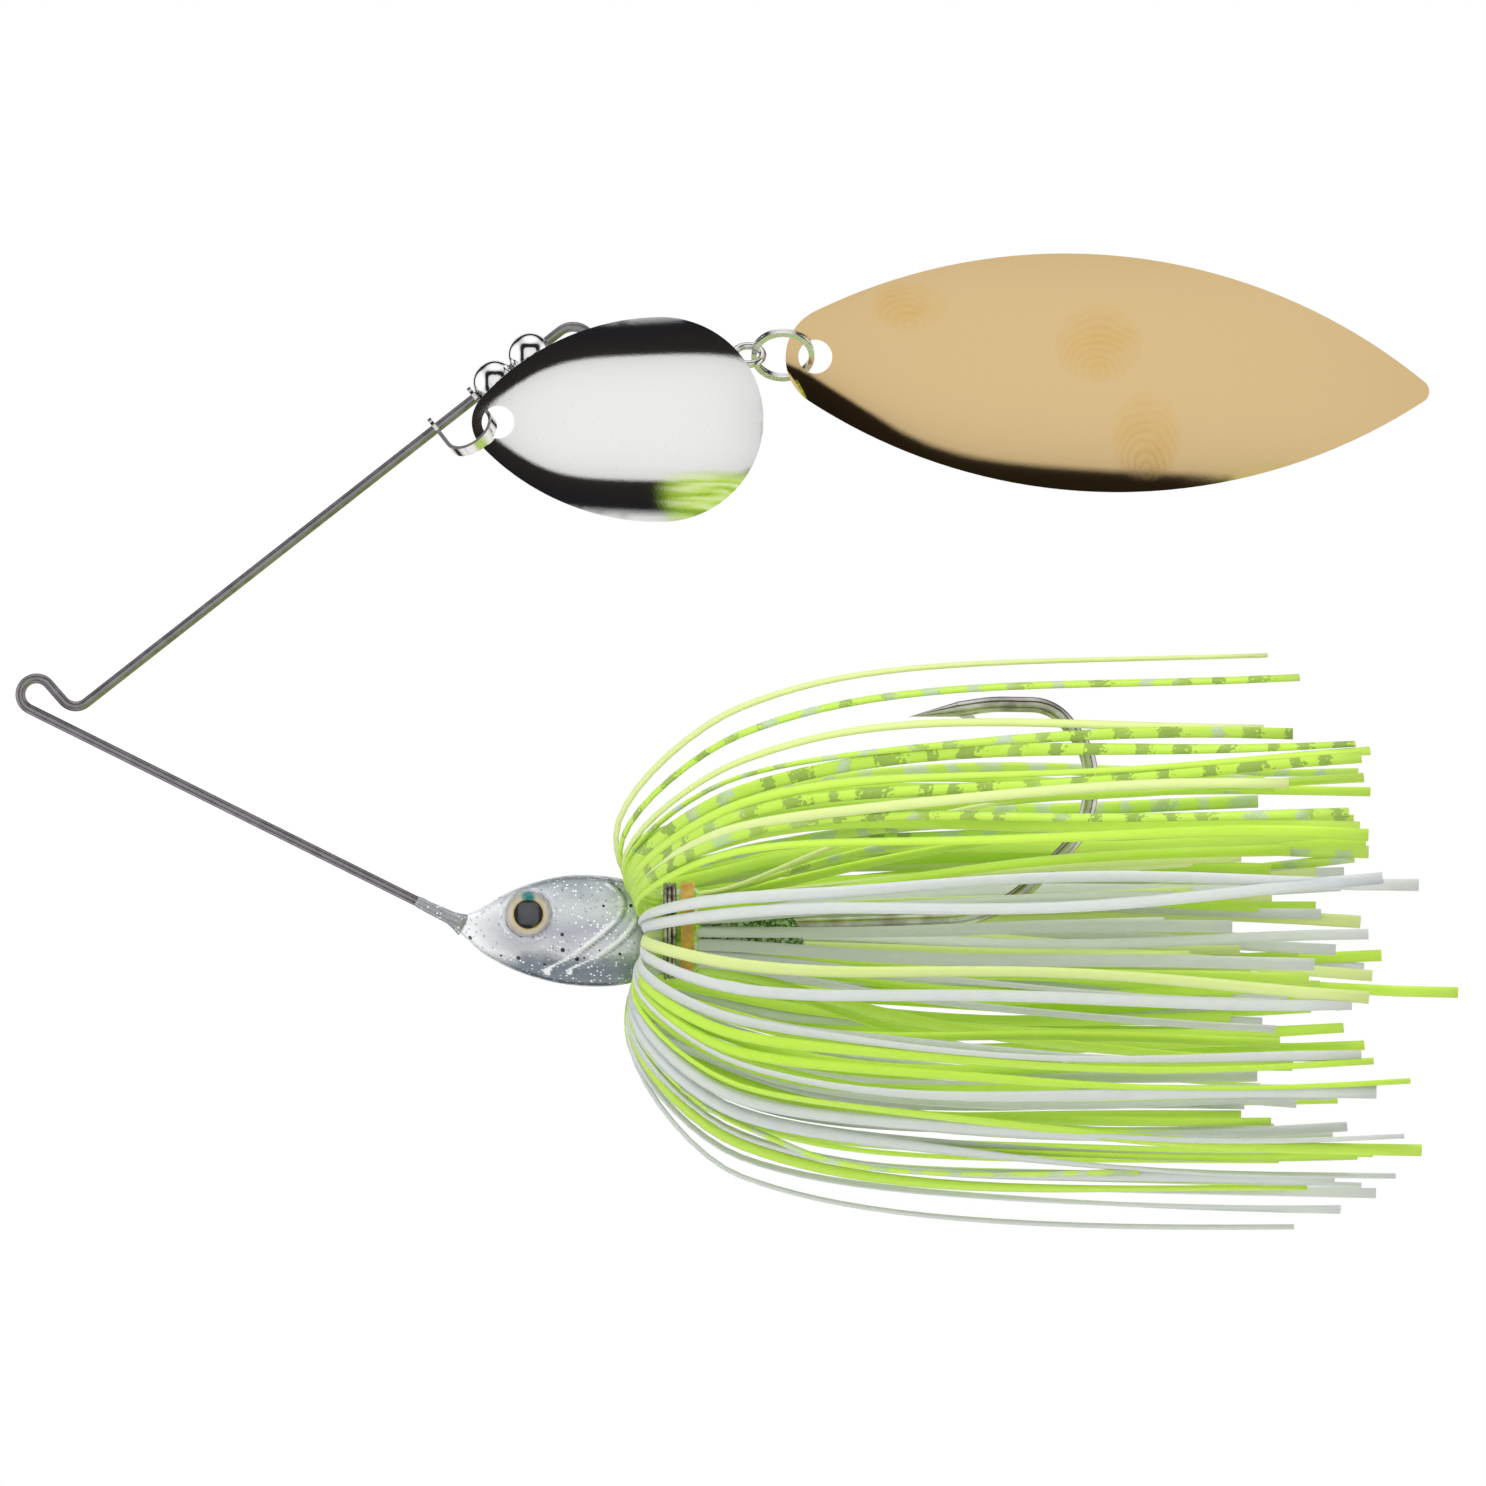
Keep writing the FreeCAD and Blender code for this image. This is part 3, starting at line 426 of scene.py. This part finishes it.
body_colour = pearl.mix(pearl.ramp(rear_place, [(0.2, 0.0), (1.0, 0.45)]), body_colour, (0.45, 0.66, 0.40))
fleck_size, fleck_red, _ = pearl.cells(780.0)
dust_size, dust_red, dust_green = pearl.cells(3600.0)
black_fleck = (fleck_size < 0.16) * (fleck_red > 0.45)
bright_dust = (dust_size < 0.38) * (dust_red > 0.74)
dark_dust = (dust_size < 0.38) * (dust_green > 0.86)
body_colour = pearl.mix(bright_dust * 0.8, body_colour, (0.97, 0.98, 1.0))
body_colour = pearl.mix(dark_dust * 0.6, body_colour, (0.16, 0.20, 0.22))
body_colour = pearl.mix(black_fleck, body_colour, (0.012, 0.013, 0.02))
pearl.set({
    "Base Color": body_colour,
    "Roughness": 0.42 - bright_dust * 0.25,
    "Normal": pearl.bump(cloud + bright_dust * 0.3, 0.25, 0.00008),
})
painted_head = add_piece(head_mesh, "painted_head", pearl, "root")
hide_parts("head")

# ---------------------------------------------------------------------------- neck and keeper
# The neck, which holds the skirt's tie, and the keeper barrel, whose barb holds a soft trailer. They are cast
# in one with the head and dipped in a thinner coat of paint, which is green and full of glitter here.
KEEPER_PROFILE = (      # behind the head, radius, in mm
    (-0.4, 2.38), (5.3, 2.38), (5.5, 2.0), (6.3, 2.0), (6.45, 2.78), (6.7, 2.76), (8.6, 2.04), (8.9, 2.0),
    (13.6, 1.98), (13.9, 1.9),
)
KEEPER_END_SLANT = 0.75          # the keeper's end is cut at a slant, by this much each way
keeper_mesh, keeper_rows = ringed_tube(64, len(KEEPER_PROFILE))
head_rear_x = NOSE_X + 16.8 * MM
for (behind, radius), row in zip(KEEPER_PROFILE, keeper_rows):
    for vert in row:
        spoke = Vector((vert.co.x, vert.co.y, 0)).normalized()
        slant = spoke.y * KEEPER_END_SLANT if behind > 13 else 0.0
        place = Vector((behind - slant, spoke.x * radius, spoke.y * radius)) * MM
        vert.co = Vector((head_rear_x, 0, AXIS_Z)) + place
bmesh.ops.recalc_face_normals(keeper_mesh, faces=keeper_mesh.faces)
keeper_paint = Material("keeper_paint", Metallic=0.2, Coat_Weight=0.6, Coat_Roughness=0.15, Roughness=0.45)
_, glitter_pick, _ = keeper_paint.cells(4200.0)
keeper_paint.set({"Base Color": keeper_paint.ramp(glitter_pick, [
    (0.0, (0.03, 0.07, 0.02)), (0.35, (0.10, 0.20, 0.05)), (0.6, (0.28, 0.42, 0.16)),
    (0.9, (0.62, 0.72, 0.52))])})
add_piece(keeper_mesh, "neck_and_keeper", keeper_paint, "root")

# ---------------------------------------------------------------------------- paint sleeve
# Where the wire enters the nose, the dip has run a few millimetres up it. It is the head's own paint, a thin
# and slightly uneven sleeve that thickens towards the lead.
SLEEVE = ((-4.6, 0.46), (-4.2, 0.52), (-3.4, 0.53), (-2.2, 0.57), (-1.2, 0.62), (-0.5, 0.80), (0.2, 1.05))
LOWER_ARM_SLOPE = math.radians(-26.4)
TIE_BEND_R = 1.45 * MM
sleeve_mesh, sleeve_rows = ringed_tube(32, len(SLEEVE))
arm_way = Vector((math.cos(LOWER_ARM_SLOPE), 0, math.sin(LOWER_ARM_SLOPE)))
arm_across = Vector((-arm_way.z, 0, arm_way.x))
arm_start = -arm_across * TIE_BEND_R
nose_reach = (NOSE_X + 0.3 * MM - arm_start.x) / arm_way.x
for (along, radius), row in zip(SLEEVE, sleeve_rows):
    for vert in row:
        spoke = Vector((vert.co.x, vert.co.y, 0)).normalized()
        uneven = 1 + 0.04 * math.sin(3 * math.atan2(spoke.y, spoke.x) + along * 2)
        out = (arm_across * spoke.y + Vector((0, spoke.x, 0))) * radius * uneven * MM
        vert.co = arm_start + arm_way * (nose_reach + along * MM) + out
bmesh.ops.recalc_face_normals(sleeve_mesh, faces=sleeve_mesh.faces)
add_piece(sleeve_mesh, "paint_sleeve", pearl, "root")

# ---------------------------------------------------------------------------- eyes
# A printed foil disc, a black pupil in a gold ring with a teal fleck, sits under a clear resin dome.
foil = Material("eye_print", Metallic=0.35, Roughness=0.3)
eye_x, _, eye_z = foil.axes()
from_x, from_z = (eye_x - NOSE_X) / MM - EYE_BACK, (eye_z - AXIS_Z) / MM - EYE_UP
from_middle = (from_x ** 2 + from_z ** 2) ** 0.5
ring_colour = foil.ramp(from_middle / 2.4, [
    (0.0, (0.020, 0.020, 0.026)), (0.53, (0.014, 0.012, 0.014)), (0.56, (0.72, 0.55, 0.16)),
    (0.62, (0.90, 0.82, 0.52)), (0.70, (0.86, 0.76, 0.66)), (0.80, (0.60, 0.54, 0.52)),
    (0.90, (0.62, 0.66, 0.62))])
_, foil_grain, _ = foil.cells(4200.0)
PUPIL_R, TEAL_UP, TEAL_R = 1.28, 1.62, 0.75
from_teal = (from_x ** 2 + (from_z - TEAL_UP) ** 2) ** 0.5
teal_share = (1 - from_teal / TEAL_R).larger(0.0) * (from_middle > PUPIL_R)
ring_colour = foil.mix(foil_grain * 0.3 * (from_middle > PUPIL_R + 0.05), ring_colour, (0.95, 0.85, 0.75))
ring_colour = foil.mix((teal_share * 2.5) * (0.5 + foil_grain * 0.5), ring_colour, (0.02, 0.32, 0.30))
foil.set({"Base Color": ring_colour})
resin = Material("clear_resin", Base_Color=(0.95, 0.97, 1.0), Metallic=1.0, Roughness=0.04)
clear = resin.add("ShaderNodeBsdfTransparent")
gloss = Value(resin, resin.surface.outputs[0])
gloss_share = resin.ramp(resin.noise(500, 1.0), [(0.3, 0.06), (0.7, 0.10)])
resin_mix = resin.add("ShaderNodeMixShader", {}, {0: gloss_share, 1: clear, 2: gloss})
resin.tree.links.new(resin_mix.socket, resin.output.inputs["Surface"])
for eye_side in ("left", "right"):
    foil.wear("eye_foil_" + eye_side)
    resin.wear("eye_dome_" + eye_side)

# ---------------------------------------------------------------------------- skirt
# Flat silicone strands, cut from a moulded sheet and tied at the middle. Most are forced forwards by the tie
# and fold back over it as a bell. The others leave it backwards. The tips are cut unevenly by hand.
STRAND_T = 0.42
SQUARE_OFF = 0.54               # from the strip's unit circle to half a width or thickness
STEPS = (6, 9, 16)              # steps along the fold, the shoulder and the straight of a strand
random.seed(7)

SIXTEENTH_TURN = math.radians(22.5)        # sets a strip's flat sides square to its width
strip_mesh, strip_rows = ringed_tube(8, sum(STEPS) + 1)
upright = Matrix.Rotation(SIXTEENTH_TURN, 3, "Z")
bmesh.ops.rotate(strip_mesh, cent=(0, 0, 0), matrix=upright, verts=strip_mesh.verts)
for step, row in enumerate(strip_rows):
    for vert in row:
        vert.co.z = step
bmesh.ops.recalc_face_normals(strip_mesh, faces=strip_mesh.faces)
strip = bpy.data.meshes.new("strip")
strip_mesh.to_mesh(strip)
strip_mesh.free()

root_front, root_back = tie_low.x / MM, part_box("skirt_rubber_band")[1].x / MM
strands = {colour: bmesh.new() for colour in ("chartreuse", "lime", "spotted", "white")}
for strand_mesh in strands.values():
    strand_mesh.verts.layers.float.new("along")
    strand_mesh.verts.layers.float.new("tint")


def bell_path(tip_x, radius, up):
    """The fold of a strand in a plane through the axis, as (x, radius) points: forwards, out, and back.

    A strand over or under the head bulges furthest forwards. One at the side springs up close behind it.
    """
    lean = min(1.0, abs(up) / radius) ** 1.6
    bulge = 1.7 + (2.7 if up > 0 else 1.5) * lean
    turn_r = 6.4 + 2.6 * lean
    shoulder_r = radius * (0.73 + 0.10 * lean)
    slope = 0.62 - 0.24 * lean
    spans = (
        ((root_front + 0.3, 3.5), (root_front - bulge * 0.8, 3.6), (root_front - bulge, turn_r - 2.4),
         (root_front - bulge, turn_r)),
        ((root_front - bulge, turn_r), (root_front - bulge, turn_r + 2.2 + 2.0 * lean),
         (root_front + 2.6, shoulder_r - 4.4 * slope), (root_front + 7.0, shoulder_r)),
        ((root_front + 7.0, shoulder_r), (root_front + 15.5, shoulder_r + 8.5 * slope), (tip_x - 30, radius),
         (tip_x, radius)),
    )
    points = []
    for span, steps in zip(spans, STEPS):
        curve = geometry.interpolate_bezier(*(Vector(p) for p in span), steps + 1)
        points += curve[1:] if points else curve
    return [Vector((p[0], p[1])) for p in points]


def trailing_path(tip_x, radius):
    """A strand that leaves the tie backwards and spreads gently."""
    start, leave = Vector((root_back - 0.4, 3.4)), Vector((root_back + 8, 3.5))
    come, tip = Vector((tip_x - 34, radius * 0.9)), Vector((tip_x, radius))
    curve = geometry.interpolate_bezier(start, leave, come, tip, sum(STEPS) + 1)
    return [Vector((p[0], p[1])) for p in curve]


def lay_strand(colour, path, side, up, width=1.15, sway=1.0):
    """Bends one strip along a path in the plane through the axis towards (side, up), with its own sway."""
    out = Vector((0, side, up)).normalized()
    around = Vector((0, -out.z, out.y))
    phase = random.uniform(0, 6.3)
    roll = random.uniform(-0.9, 0.9)
    swing = random.uniform(-1, 1) * sway
    places, travelled = [], 0.0
    for step, point in enumerate(path):
        if step:
            travelled += (path[step] - path[step - 1]).length
        loose = (travelled / 75) ** 2
        wave = 0.5 * sway * math.sin(travelled * 0.11 + phase) * min(1.0, travelled / 30)
        drift = swing * 2.6 * loose + wave
        places.append((Vector((point.x, 0, AXIS_Z / MM)) + out * point.y + around * drift, travelled))
    mesh = strands[colour]
    first = len(mesh.verts)
    mesh.from_mesh(strip)
    mesh.verts.ensure_lookup_table()
    length_layer, tint_layer = mesh.verts.layers.float["along"], mesh.verts.layers.float["tint"]
    tint = random.random()
    for vert in mesh.verts[first:]:
        step = round(vert.co.z)
        here, far = places[step]
        before, after = places[max(step - 1, 0)][0], places[min(step + 1, len(places) - 1)][0]
        way = (after - before).normalized()
        flat = (around - way * around.dot(way)).normalized()
        twist = roll * math.sin(far * 0.05 + phase)
        flat = Matrix.Rotation(twist, 3, way) @ flat
        through = way.cross(flat)
        across, deep = vert.co.x * width * SQUARE_OFF, vert.co.y * STRAND_T * SQUARE_OFF
        vert.co = (here + flat * across + through * deep) * MM
        vert[length_layer] = far
        vert[tint_layer] = tint


# The near side, from the top strand down: colour, height of the tip over the axis, distance of the tip.
NEAR_SIDE = (
    ("lime", 24.3, 110.6), ("spotted", 21.8, 113.3), ("lime", 19.4, 109.9),
    ("spotted", 17.8, 112.5), ("spotted", 16.2, 118.0), ("chartreuse", 14.4, 119.3),
    ("spotted", 13.2, 118.5), ("lime", 12.4, 112.0), ("spotted", 11.4, 117.3),
    ("chartreuse", 9.6, 119.0), ("spotted", 8.4, 119.4), ("lime", 7.6, 114.0),
    ("spotted", 6.9, 120.8), ("white", 4.7, 123.4), ("spotted", 3.7, 119.5),
    ("white", 1.9, 120.2), ("chartreuse", 0.4, 116.0), ("white", -0.9, 120.4),
    ("lime", -3.2, 119.0), ("chartreuse", -4.6, 122.0), ("chartreuse", -5.3, 129.0),
    ("white", -6.4, 117.5), ("chartreuse", -7.6, 115.5), ("white", -9.0, 119.0),
    ("white", -10.6, 118.4), ("chartreuse", -12.2, 119.5), ("chartreuse", -13.9, 122.8),
    ("white", -15.2, 119.8), ("chartreuse", -17.2, 124.0), ("white", -18.7, 122.4),
    ("white", -20.2, 121.8), ("spotted", -21.4, 98.9), ("white", -22.3, 116.4),
    ("chartreuse", -23.3, 114.0), ("white", -24.4, 117.2), ("white", -26.6, 113.0),
)
SKIRT_R = 25.2
HOOK_ROOM = 1.9                 # the strands stay this far from the hook's plane
TIE_WINDOW = 9.2                # on the near side the strands part here and show the tie
ACROSS_TIE = (4.7, 1.9, -3.2, -6.4)


def lay_bell(colour, up, radius, tip_x, width, near):
    """Lays a folded strand at a height over the axis, towards the viewer or away, clear of the hook."""
    side = max(math.sqrt(max(radius ** 2 - up ** 2, 0)), HOOK_ROOM)
    lay_strand(colour, bell_path(tip_x, radius, up), -side if near else side, up, width)


for colour, up, tip_x in NEAR_SIDE:
    near = abs(up) > TIE_WINDOW or up in ACROSS_TIE
    lay_bell(colour, up, max(SKIRT_R, abs(up) + 0.3), tip_x, random.uniform(0.95, 1.2), near)


def zone_colour(up):
    """The skirt's back is yellow-green and spotted, its flanks have white, and its belly is mostly white."""
    if up > 6:
        return random.choice(("chartreuse", "spotted", "chartreuse", "lime", "spotted"))
    if up > -4:
        return random.choice(("white", "lime", "chartreuse"))
    if up > -14:
        return random.choice(("chartreuse", "white", "chartreuse"))
    return random.choice(("white", "white", "chartreuse"))


MIDDLE_STRANDS, FAR_STRANDS, TRAILING_STRANDS = 34, 40, 18
TIP_NEAREST, TIP_FARTHEST = 108, 121
for n in range(MIDDLE_STRANDS):
    up = 15 - 38 * (n + 0.5) / MIDDLE_STRANDS + random.uniform(-0.9, 0.9)
    radius = random.uniform(18, 23) if abs(up) < 16 else random.uniform(22.5, 24.5)
    lay_bell(zone_colour(up), up, radius, random.uniform(TIP_NEAREST, TIP_FARTHEST), random.uniform(0.9, 1.2),
             abs(up) > TIE_WINDOW)
for n in range(FAR_STRANDS):
    up = 16 - 40 * (n + 0.5) / FAR_STRANDS + random.uniform(-0.8, 0.8)
    radius = random.uniform(20, 25)
    lay_bell(zone_colour(up), up, radius, random.uniform(TIP_NEAREST, TIP_FARTHEST), random.uniform(0.9, 1.2),
             False)
for n in range(TRAILING_STRANDS):
    turn = 2 * math.pi * (n + 0.5) / TRAILING_STRANDS
    side, up = math.sin(turn), math.cos(turn)
    radius = random.uniform(7, 14)
    colour = zone_colour(up * radius)
    lay_strand(colour, trailing_path(random.uniform(100, 117), radius), side, up, 1.1, 0.6)


DASH_PITCH, DASH_SHARE, DASHES_START = 3.7, 0.42, 9


def silicone(name, colour, shade, painted_glow, printed=False):
    """A slightly see-through silicone, its pigment a little uneven, plain or with printed foil dashes, with a
    faint painted glow in its own colour.
    """
    rubber = Material(name, Roughness=0.42, Subsurface_Weight=0.25, Subsurface_Scale=0.0012,
                      Subsurface_Radius=(1.0, 1.0, 0.4), Sheen_Weight=0.15, Specular_IOR_Level=0.45,
                      Emission_Strength=painted_glow)
    along = rubber.add("ShaderNodeAttribute", {"attribute_name": "along"}, {}, 2)
    tint = rubber.add("ShaderNodeAttribute", {"attribute_name": "tint"}, {}, 2)
    streak = rubber.noise(700, 3.0)
    pigment = rubber.mix(streak * 0.5 + tint * 0.4, colour, shade)
    if printed:
        dash = (along / DASH_PITCH + tint * 5 + rubber.noise(160, 1.0) * 1.6).fraction()
        ragged = dash + (rubber.noise(2900, 2.0) - 0.5) * 0.9
        bar = (ragged < DASH_SHARE) * (ragged > 0.0)
        foil_tone = rubber.noise(150, 1.0)
        ink = rubber.ramp(foil_tone + (tint - 0.5) * 0.5, [
            (0.30, (0.08, 0.12, 0.05)), (0.44, (0.20, 0.28, 0.08)), (0.52, (0.42, 0.44, 0.58)),
            (0.64, (0.36, 0.48, 0.40)), (0.76, (0.52, 0.54, 0.66))])
        pigment = rubber.mix(bar * (along > DASHES_START) * 0.55, pigment, ink)
    # The pigment is also given off as a faint painted glow, light from a strand that is no lamp.
    rubber.set({"Base Color": pigment, "Emission Color": pigment,
                "Normal": rubber.bump(streak, 0.2, 0.00006)})
    return rubber


# The last number of each silicone is its painted glow.
SKIRT_FINISHES = {
    "chartreuse": silicone("chartreuse_silicone", (0.44, 0.70, 0.035), (0.55, 0.76, 0.13), 0.10),
    "lime": silicone("lime_silicone", (0.58, 0.72, 0.22), (0.70, 0.77, 0.38), 0.08),
    "spotted": silicone("spotted_silicone", (0.43, 0.68, 0.04), (0.55, 0.74, 0.16), 0.08, True),
    "white": silicone("white_silicone", (0.54, 0.58, 0.54), (0.68, 0.70, 0.71), 0.05),
}
for colour, mesh in strands.items():
    add_piece(mesh, "skirt_" + colour, SKIRT_FINISHES[colour], "root")
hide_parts("skirt_strands_chartreuse")
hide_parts("skirt_strands_spotted")
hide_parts("skirt_strands_white")

# ---------------------------------------------------------------------------- strand bundle
# The middles of the strands, squeezed together under the tie: a short silicone collar, ribbed by the strands
# at its rim and mixed of their colours.
BUNDLE_RIBS = 44
BUNDLE = ((root_front - 0.5, 3.3), (root_front - 0.1, 3.9), (root_back + 0.1, 3.9), (root_back + 0.6, 3.3))
bundle_mesh, bundle_rows = ringed_tube(BUNDLE_RIBS * 4, len(BUNDLE))
for (place, radius), row in zip(BUNDLE, bundle_rows):
    for vert in row:
        turn = math.atan2(vert.co.y, vert.co.x)
        ribbed = radius + 0.08 * math.cos(turn * BUNDLE_RIBS)
        vert.co = Vector((place * MM, ribbed * math.cos(turn) * MM, AXIS_Z + ribbed * math.sin(turn) * MM))
bmesh.ops.recalc_face_normals(bundle_mesh, faces=bundle_mesh.faces)
bundle_rubber = Material("bundle_silicone", Roughness=0.5)
bundle_share = bundle_rubber.noise(900, 2.0)
bundle_rubber.set({"Base Color": bundle_rubber.ramp(bundle_share, [
    (0.35, (0.28, 0.55, 0.02)), (0.50, (0.55, 0.85, 0.10)), (0.62, (0.80, 0.84, 0.74))])})
bundle = add_piece(bundle_mesh, "strand_bundle", bundle_rubber, "root")
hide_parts("skirt_root")

# ---------------------------------------------------------------------------- binding wire
# Three turns of soft wire hold the skirt on the neck. The wire is annealed, and its colour is mottled at
# random between dark tarnish and bright metal.
binding = Material("binding_wire", Metallic=1.0)
binding.set({
    "Base Color": binding.ramp(binding.noise(1500), [(0.35, (0.13, 0.11, 0.07)), (0.65, (0.62, 0.60, 0.50))]),
    "Roughness": 0.2 + binding.noise(2400) * 0.25,
})
binding.wear("skirt_tie_wire")

# ---------------------------------------------------------------------------- rubber band
# A stretched band of amber natural rubber beside the wire. It is slightly see-through and finely wrinkled.
amber = Material("amber_rubber", Roughness=0.35, Subsurface_Weight=0.2, Subsurface_Scale=0.001)
amber.set({
    "Base Color": amber.ramp(amber.noise(800), [(0.3, (0.48, 0.25, 0.02)), (0.7, (0.80, 0.50, 0.08))]),
    "Normal": amber.bump(amber.noise(1500), 0.3, 0.00005),
})
amber.wear("skirt_rubber_band")


# ---------------------------------------------------------------------------- clevis
# A thin steel strip with an ear at each end, folded into a U that runs on the wire. It is nickel plated, and
# the plate has fine specks.
def plated(name, colour, dull, roughness):
    """A bright plated metal with fine specks and a very slight orange peel."""
    plate = Material(name, Metallic=1.0)
    peel = plate.noise(2400)
    plate.set({
        "Base Color": plate.mix(plate.ramp(peel, [(0.60, 0.0), (0.78, 0.5)]), colour, dull),
        "Roughness": roughness + peel * roughness,
        "Normal": plate.bump(peel, 0.12, 0.00001),
    })
    return plate


plated("nickel_strip", (0.74, 0.72, 0.70), (0.30, 0.28, 0.26), 0.10).wear("clevis")

# ---------------------------------------------------------------------------- beads
# Two bored brass balls between the clevis and the wire's end. They are nickel plated and polished, the
# brightest parts on the wire.
bead_plate = plated("bead_plate", (0.93, 0.93, 0.94), (0.40, 0.39, 0.39), 0.07)
for bead in ("bead_lower", "bead_upper"):
    bead_plate.wear(bead)

# ---------------------------------------------------------------------------- rings and swivel
# The solid ring, the swivel's two eyes and the split ring are bright stainless wire, like the balls inside
# the swivel. The barrel is a drawn brass sleeve, nickel plated and a little greyer.
ring_steel = plated("ring_steel", (0.72, 0.71, 0.68), (0.28, 0.26, 0.22), 0.12)
for link in ("solid_ring", "swivel_front_eye", "swivel_rear_eye", "split_ring", "swivel_bearing_balls"):
    ring_steel.wear(link)
plated("swivel_plate", (0.62, 0.61, 0.60), (0.25, 0.23, 0.2), 0.14).wear("swivel_barrel")

# ---------------------------------------------------------------------------- front blade
# A deep round blade stamped from brass sheet and silver plated to a mirror. Its flanks turn up more steeply
# towards the head end, and polishing has left very fine scratches along it.
NARROWING, FLANK_STEEPNESS, FLANK_FLATNESS = 3.35, 1.9, 38
silver = Material("silver_plate", Metallic=1.0)
silver_grain = silver.noise(5200, 2.0)
along_blade = silver.add("ShaderNodeMapping", {}, {
    "Vector": silver.place(), "Rotation": (0, math.radians(20), 0), "Scale": (1.0, 1.0, 60.0)})
silver_scratch = silver.noise(60, 2.0, along_blade)
silver_low, silver_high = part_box("front_blade")
silver_x, _, silver_z = silver.axes()
from_head = (silver_x - silver_low.x) / MM
from_line = (silver_z - (silver_low.z + silver_high.z) / 2) / MM
narrow = from_head.math("EXPONENT", from_head / -NARROWING) * FLANK_STEEPNESS
flank_cup = from_line ** 2 * narrow / -FLANK_FLATNESS
silver_specks = silver.ramp(silver_grain, [(0.66, 0.0), (0.80, 0.5)])
silver.set({
    "Base Color": silver.mix(silver_specks, (0.93, 0.93, 0.91), (0.55, 0.54, 0.52)),
    "Roughness": 0.045 + silver_scratch * 0.03,
    "Normal": silver.bump(flank_cup + silver_grain * 0.0015, 1.0, 0.001),
})
silver.wear("front_blade")

# ---------------------------------------------------------------------------- rear blade
# A long leaf of brass sheet, gold plated and polished. It is dished along its middle and steeper at the head
# end. Fingers have dulled the plate in three places and left their ridges there.
LEAF_LENGTH = 58
LEAF_NARROWING, LEAF_STEEPNESS, LEAF_FLATNESS = 5.3, 2.4, 72
MIDDLE_AT_HEAD, MIDDLE_SINKS = 0.66, 0.28        # the middle line's height, as a share of the blade's
FINGER_MARKS = (        # place along and up, as shares of the blade, then half length and half height, in mm
    (0.192, 0.78, 3.6, 2.3), (0.485, 0.62, 4.0, 3.6), (0.56, 0.23, 3.2, 4.2),
)
gold = Material("gold_plate", Metallic=1.0)
gold_x, _, gold_z = gold.axes()
gold_grain = gold.noise(3000, 2.0)
gold_low, gold_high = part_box("rear_blade")
gold_size = gold_high - gold_low
smudge = 0.0
for share_x, share_z, half_long, half_tall in FINGER_MARKS:
    mark_x = gold_low.x + gold_size.x * share_x
    mark_z = gold_low.z + gold_size.z * share_z
    off_x = (gold_x - mark_x) / (half_long * MM)
    off_z = (gold_z - mark_z) / (half_tall * MM)
    inside = (1 - (off_x ** 2 + off_z ** 2)).larger(0.0)
    arch = (off_x ** 2 * 1.4 + (off_z + 0.7) ** 2) ** 0.5
    ridges = (arch * 4.6 + gold.noise(180, 1.0) * 4.0).fraction()
    smudge = smudge + inside ** 0.6 * (0.62 + (ridges > 0.5) * 0.38)
smudge = smudge * (gold.noise(330) * 2.2 - 0.25).larger(0.15)
from_head = (gold_x - gold_low.x) / MM
middle_line = gold_size.z * (MIDDLE_AT_HEAD - from_head / LEAF_LENGTH * MIDDLE_SINKS)
from_line = (gold_z - gold_low.z - middle_line) / MM
leaf_narrow = from_head.math("EXPONENT", from_head / -LEAF_NARROWING) * LEAF_STEEPNESS
leaf_cup = from_line ** 2 * leaf_narrow / -LEAF_FLATNESS
gold.set({
    "Base Color": gold.mix(smudge * 0.80, (0.77, 0.56, 0.285), (0.76, 0.49, 0.165)),
    "Roughness": 0.06 + smudge * 0.12,
    "Normal": gold.bump(leaf_cup + gold_grain * 0.0006, 1.0, 0.001),
})
gold.wear("rear_blade")
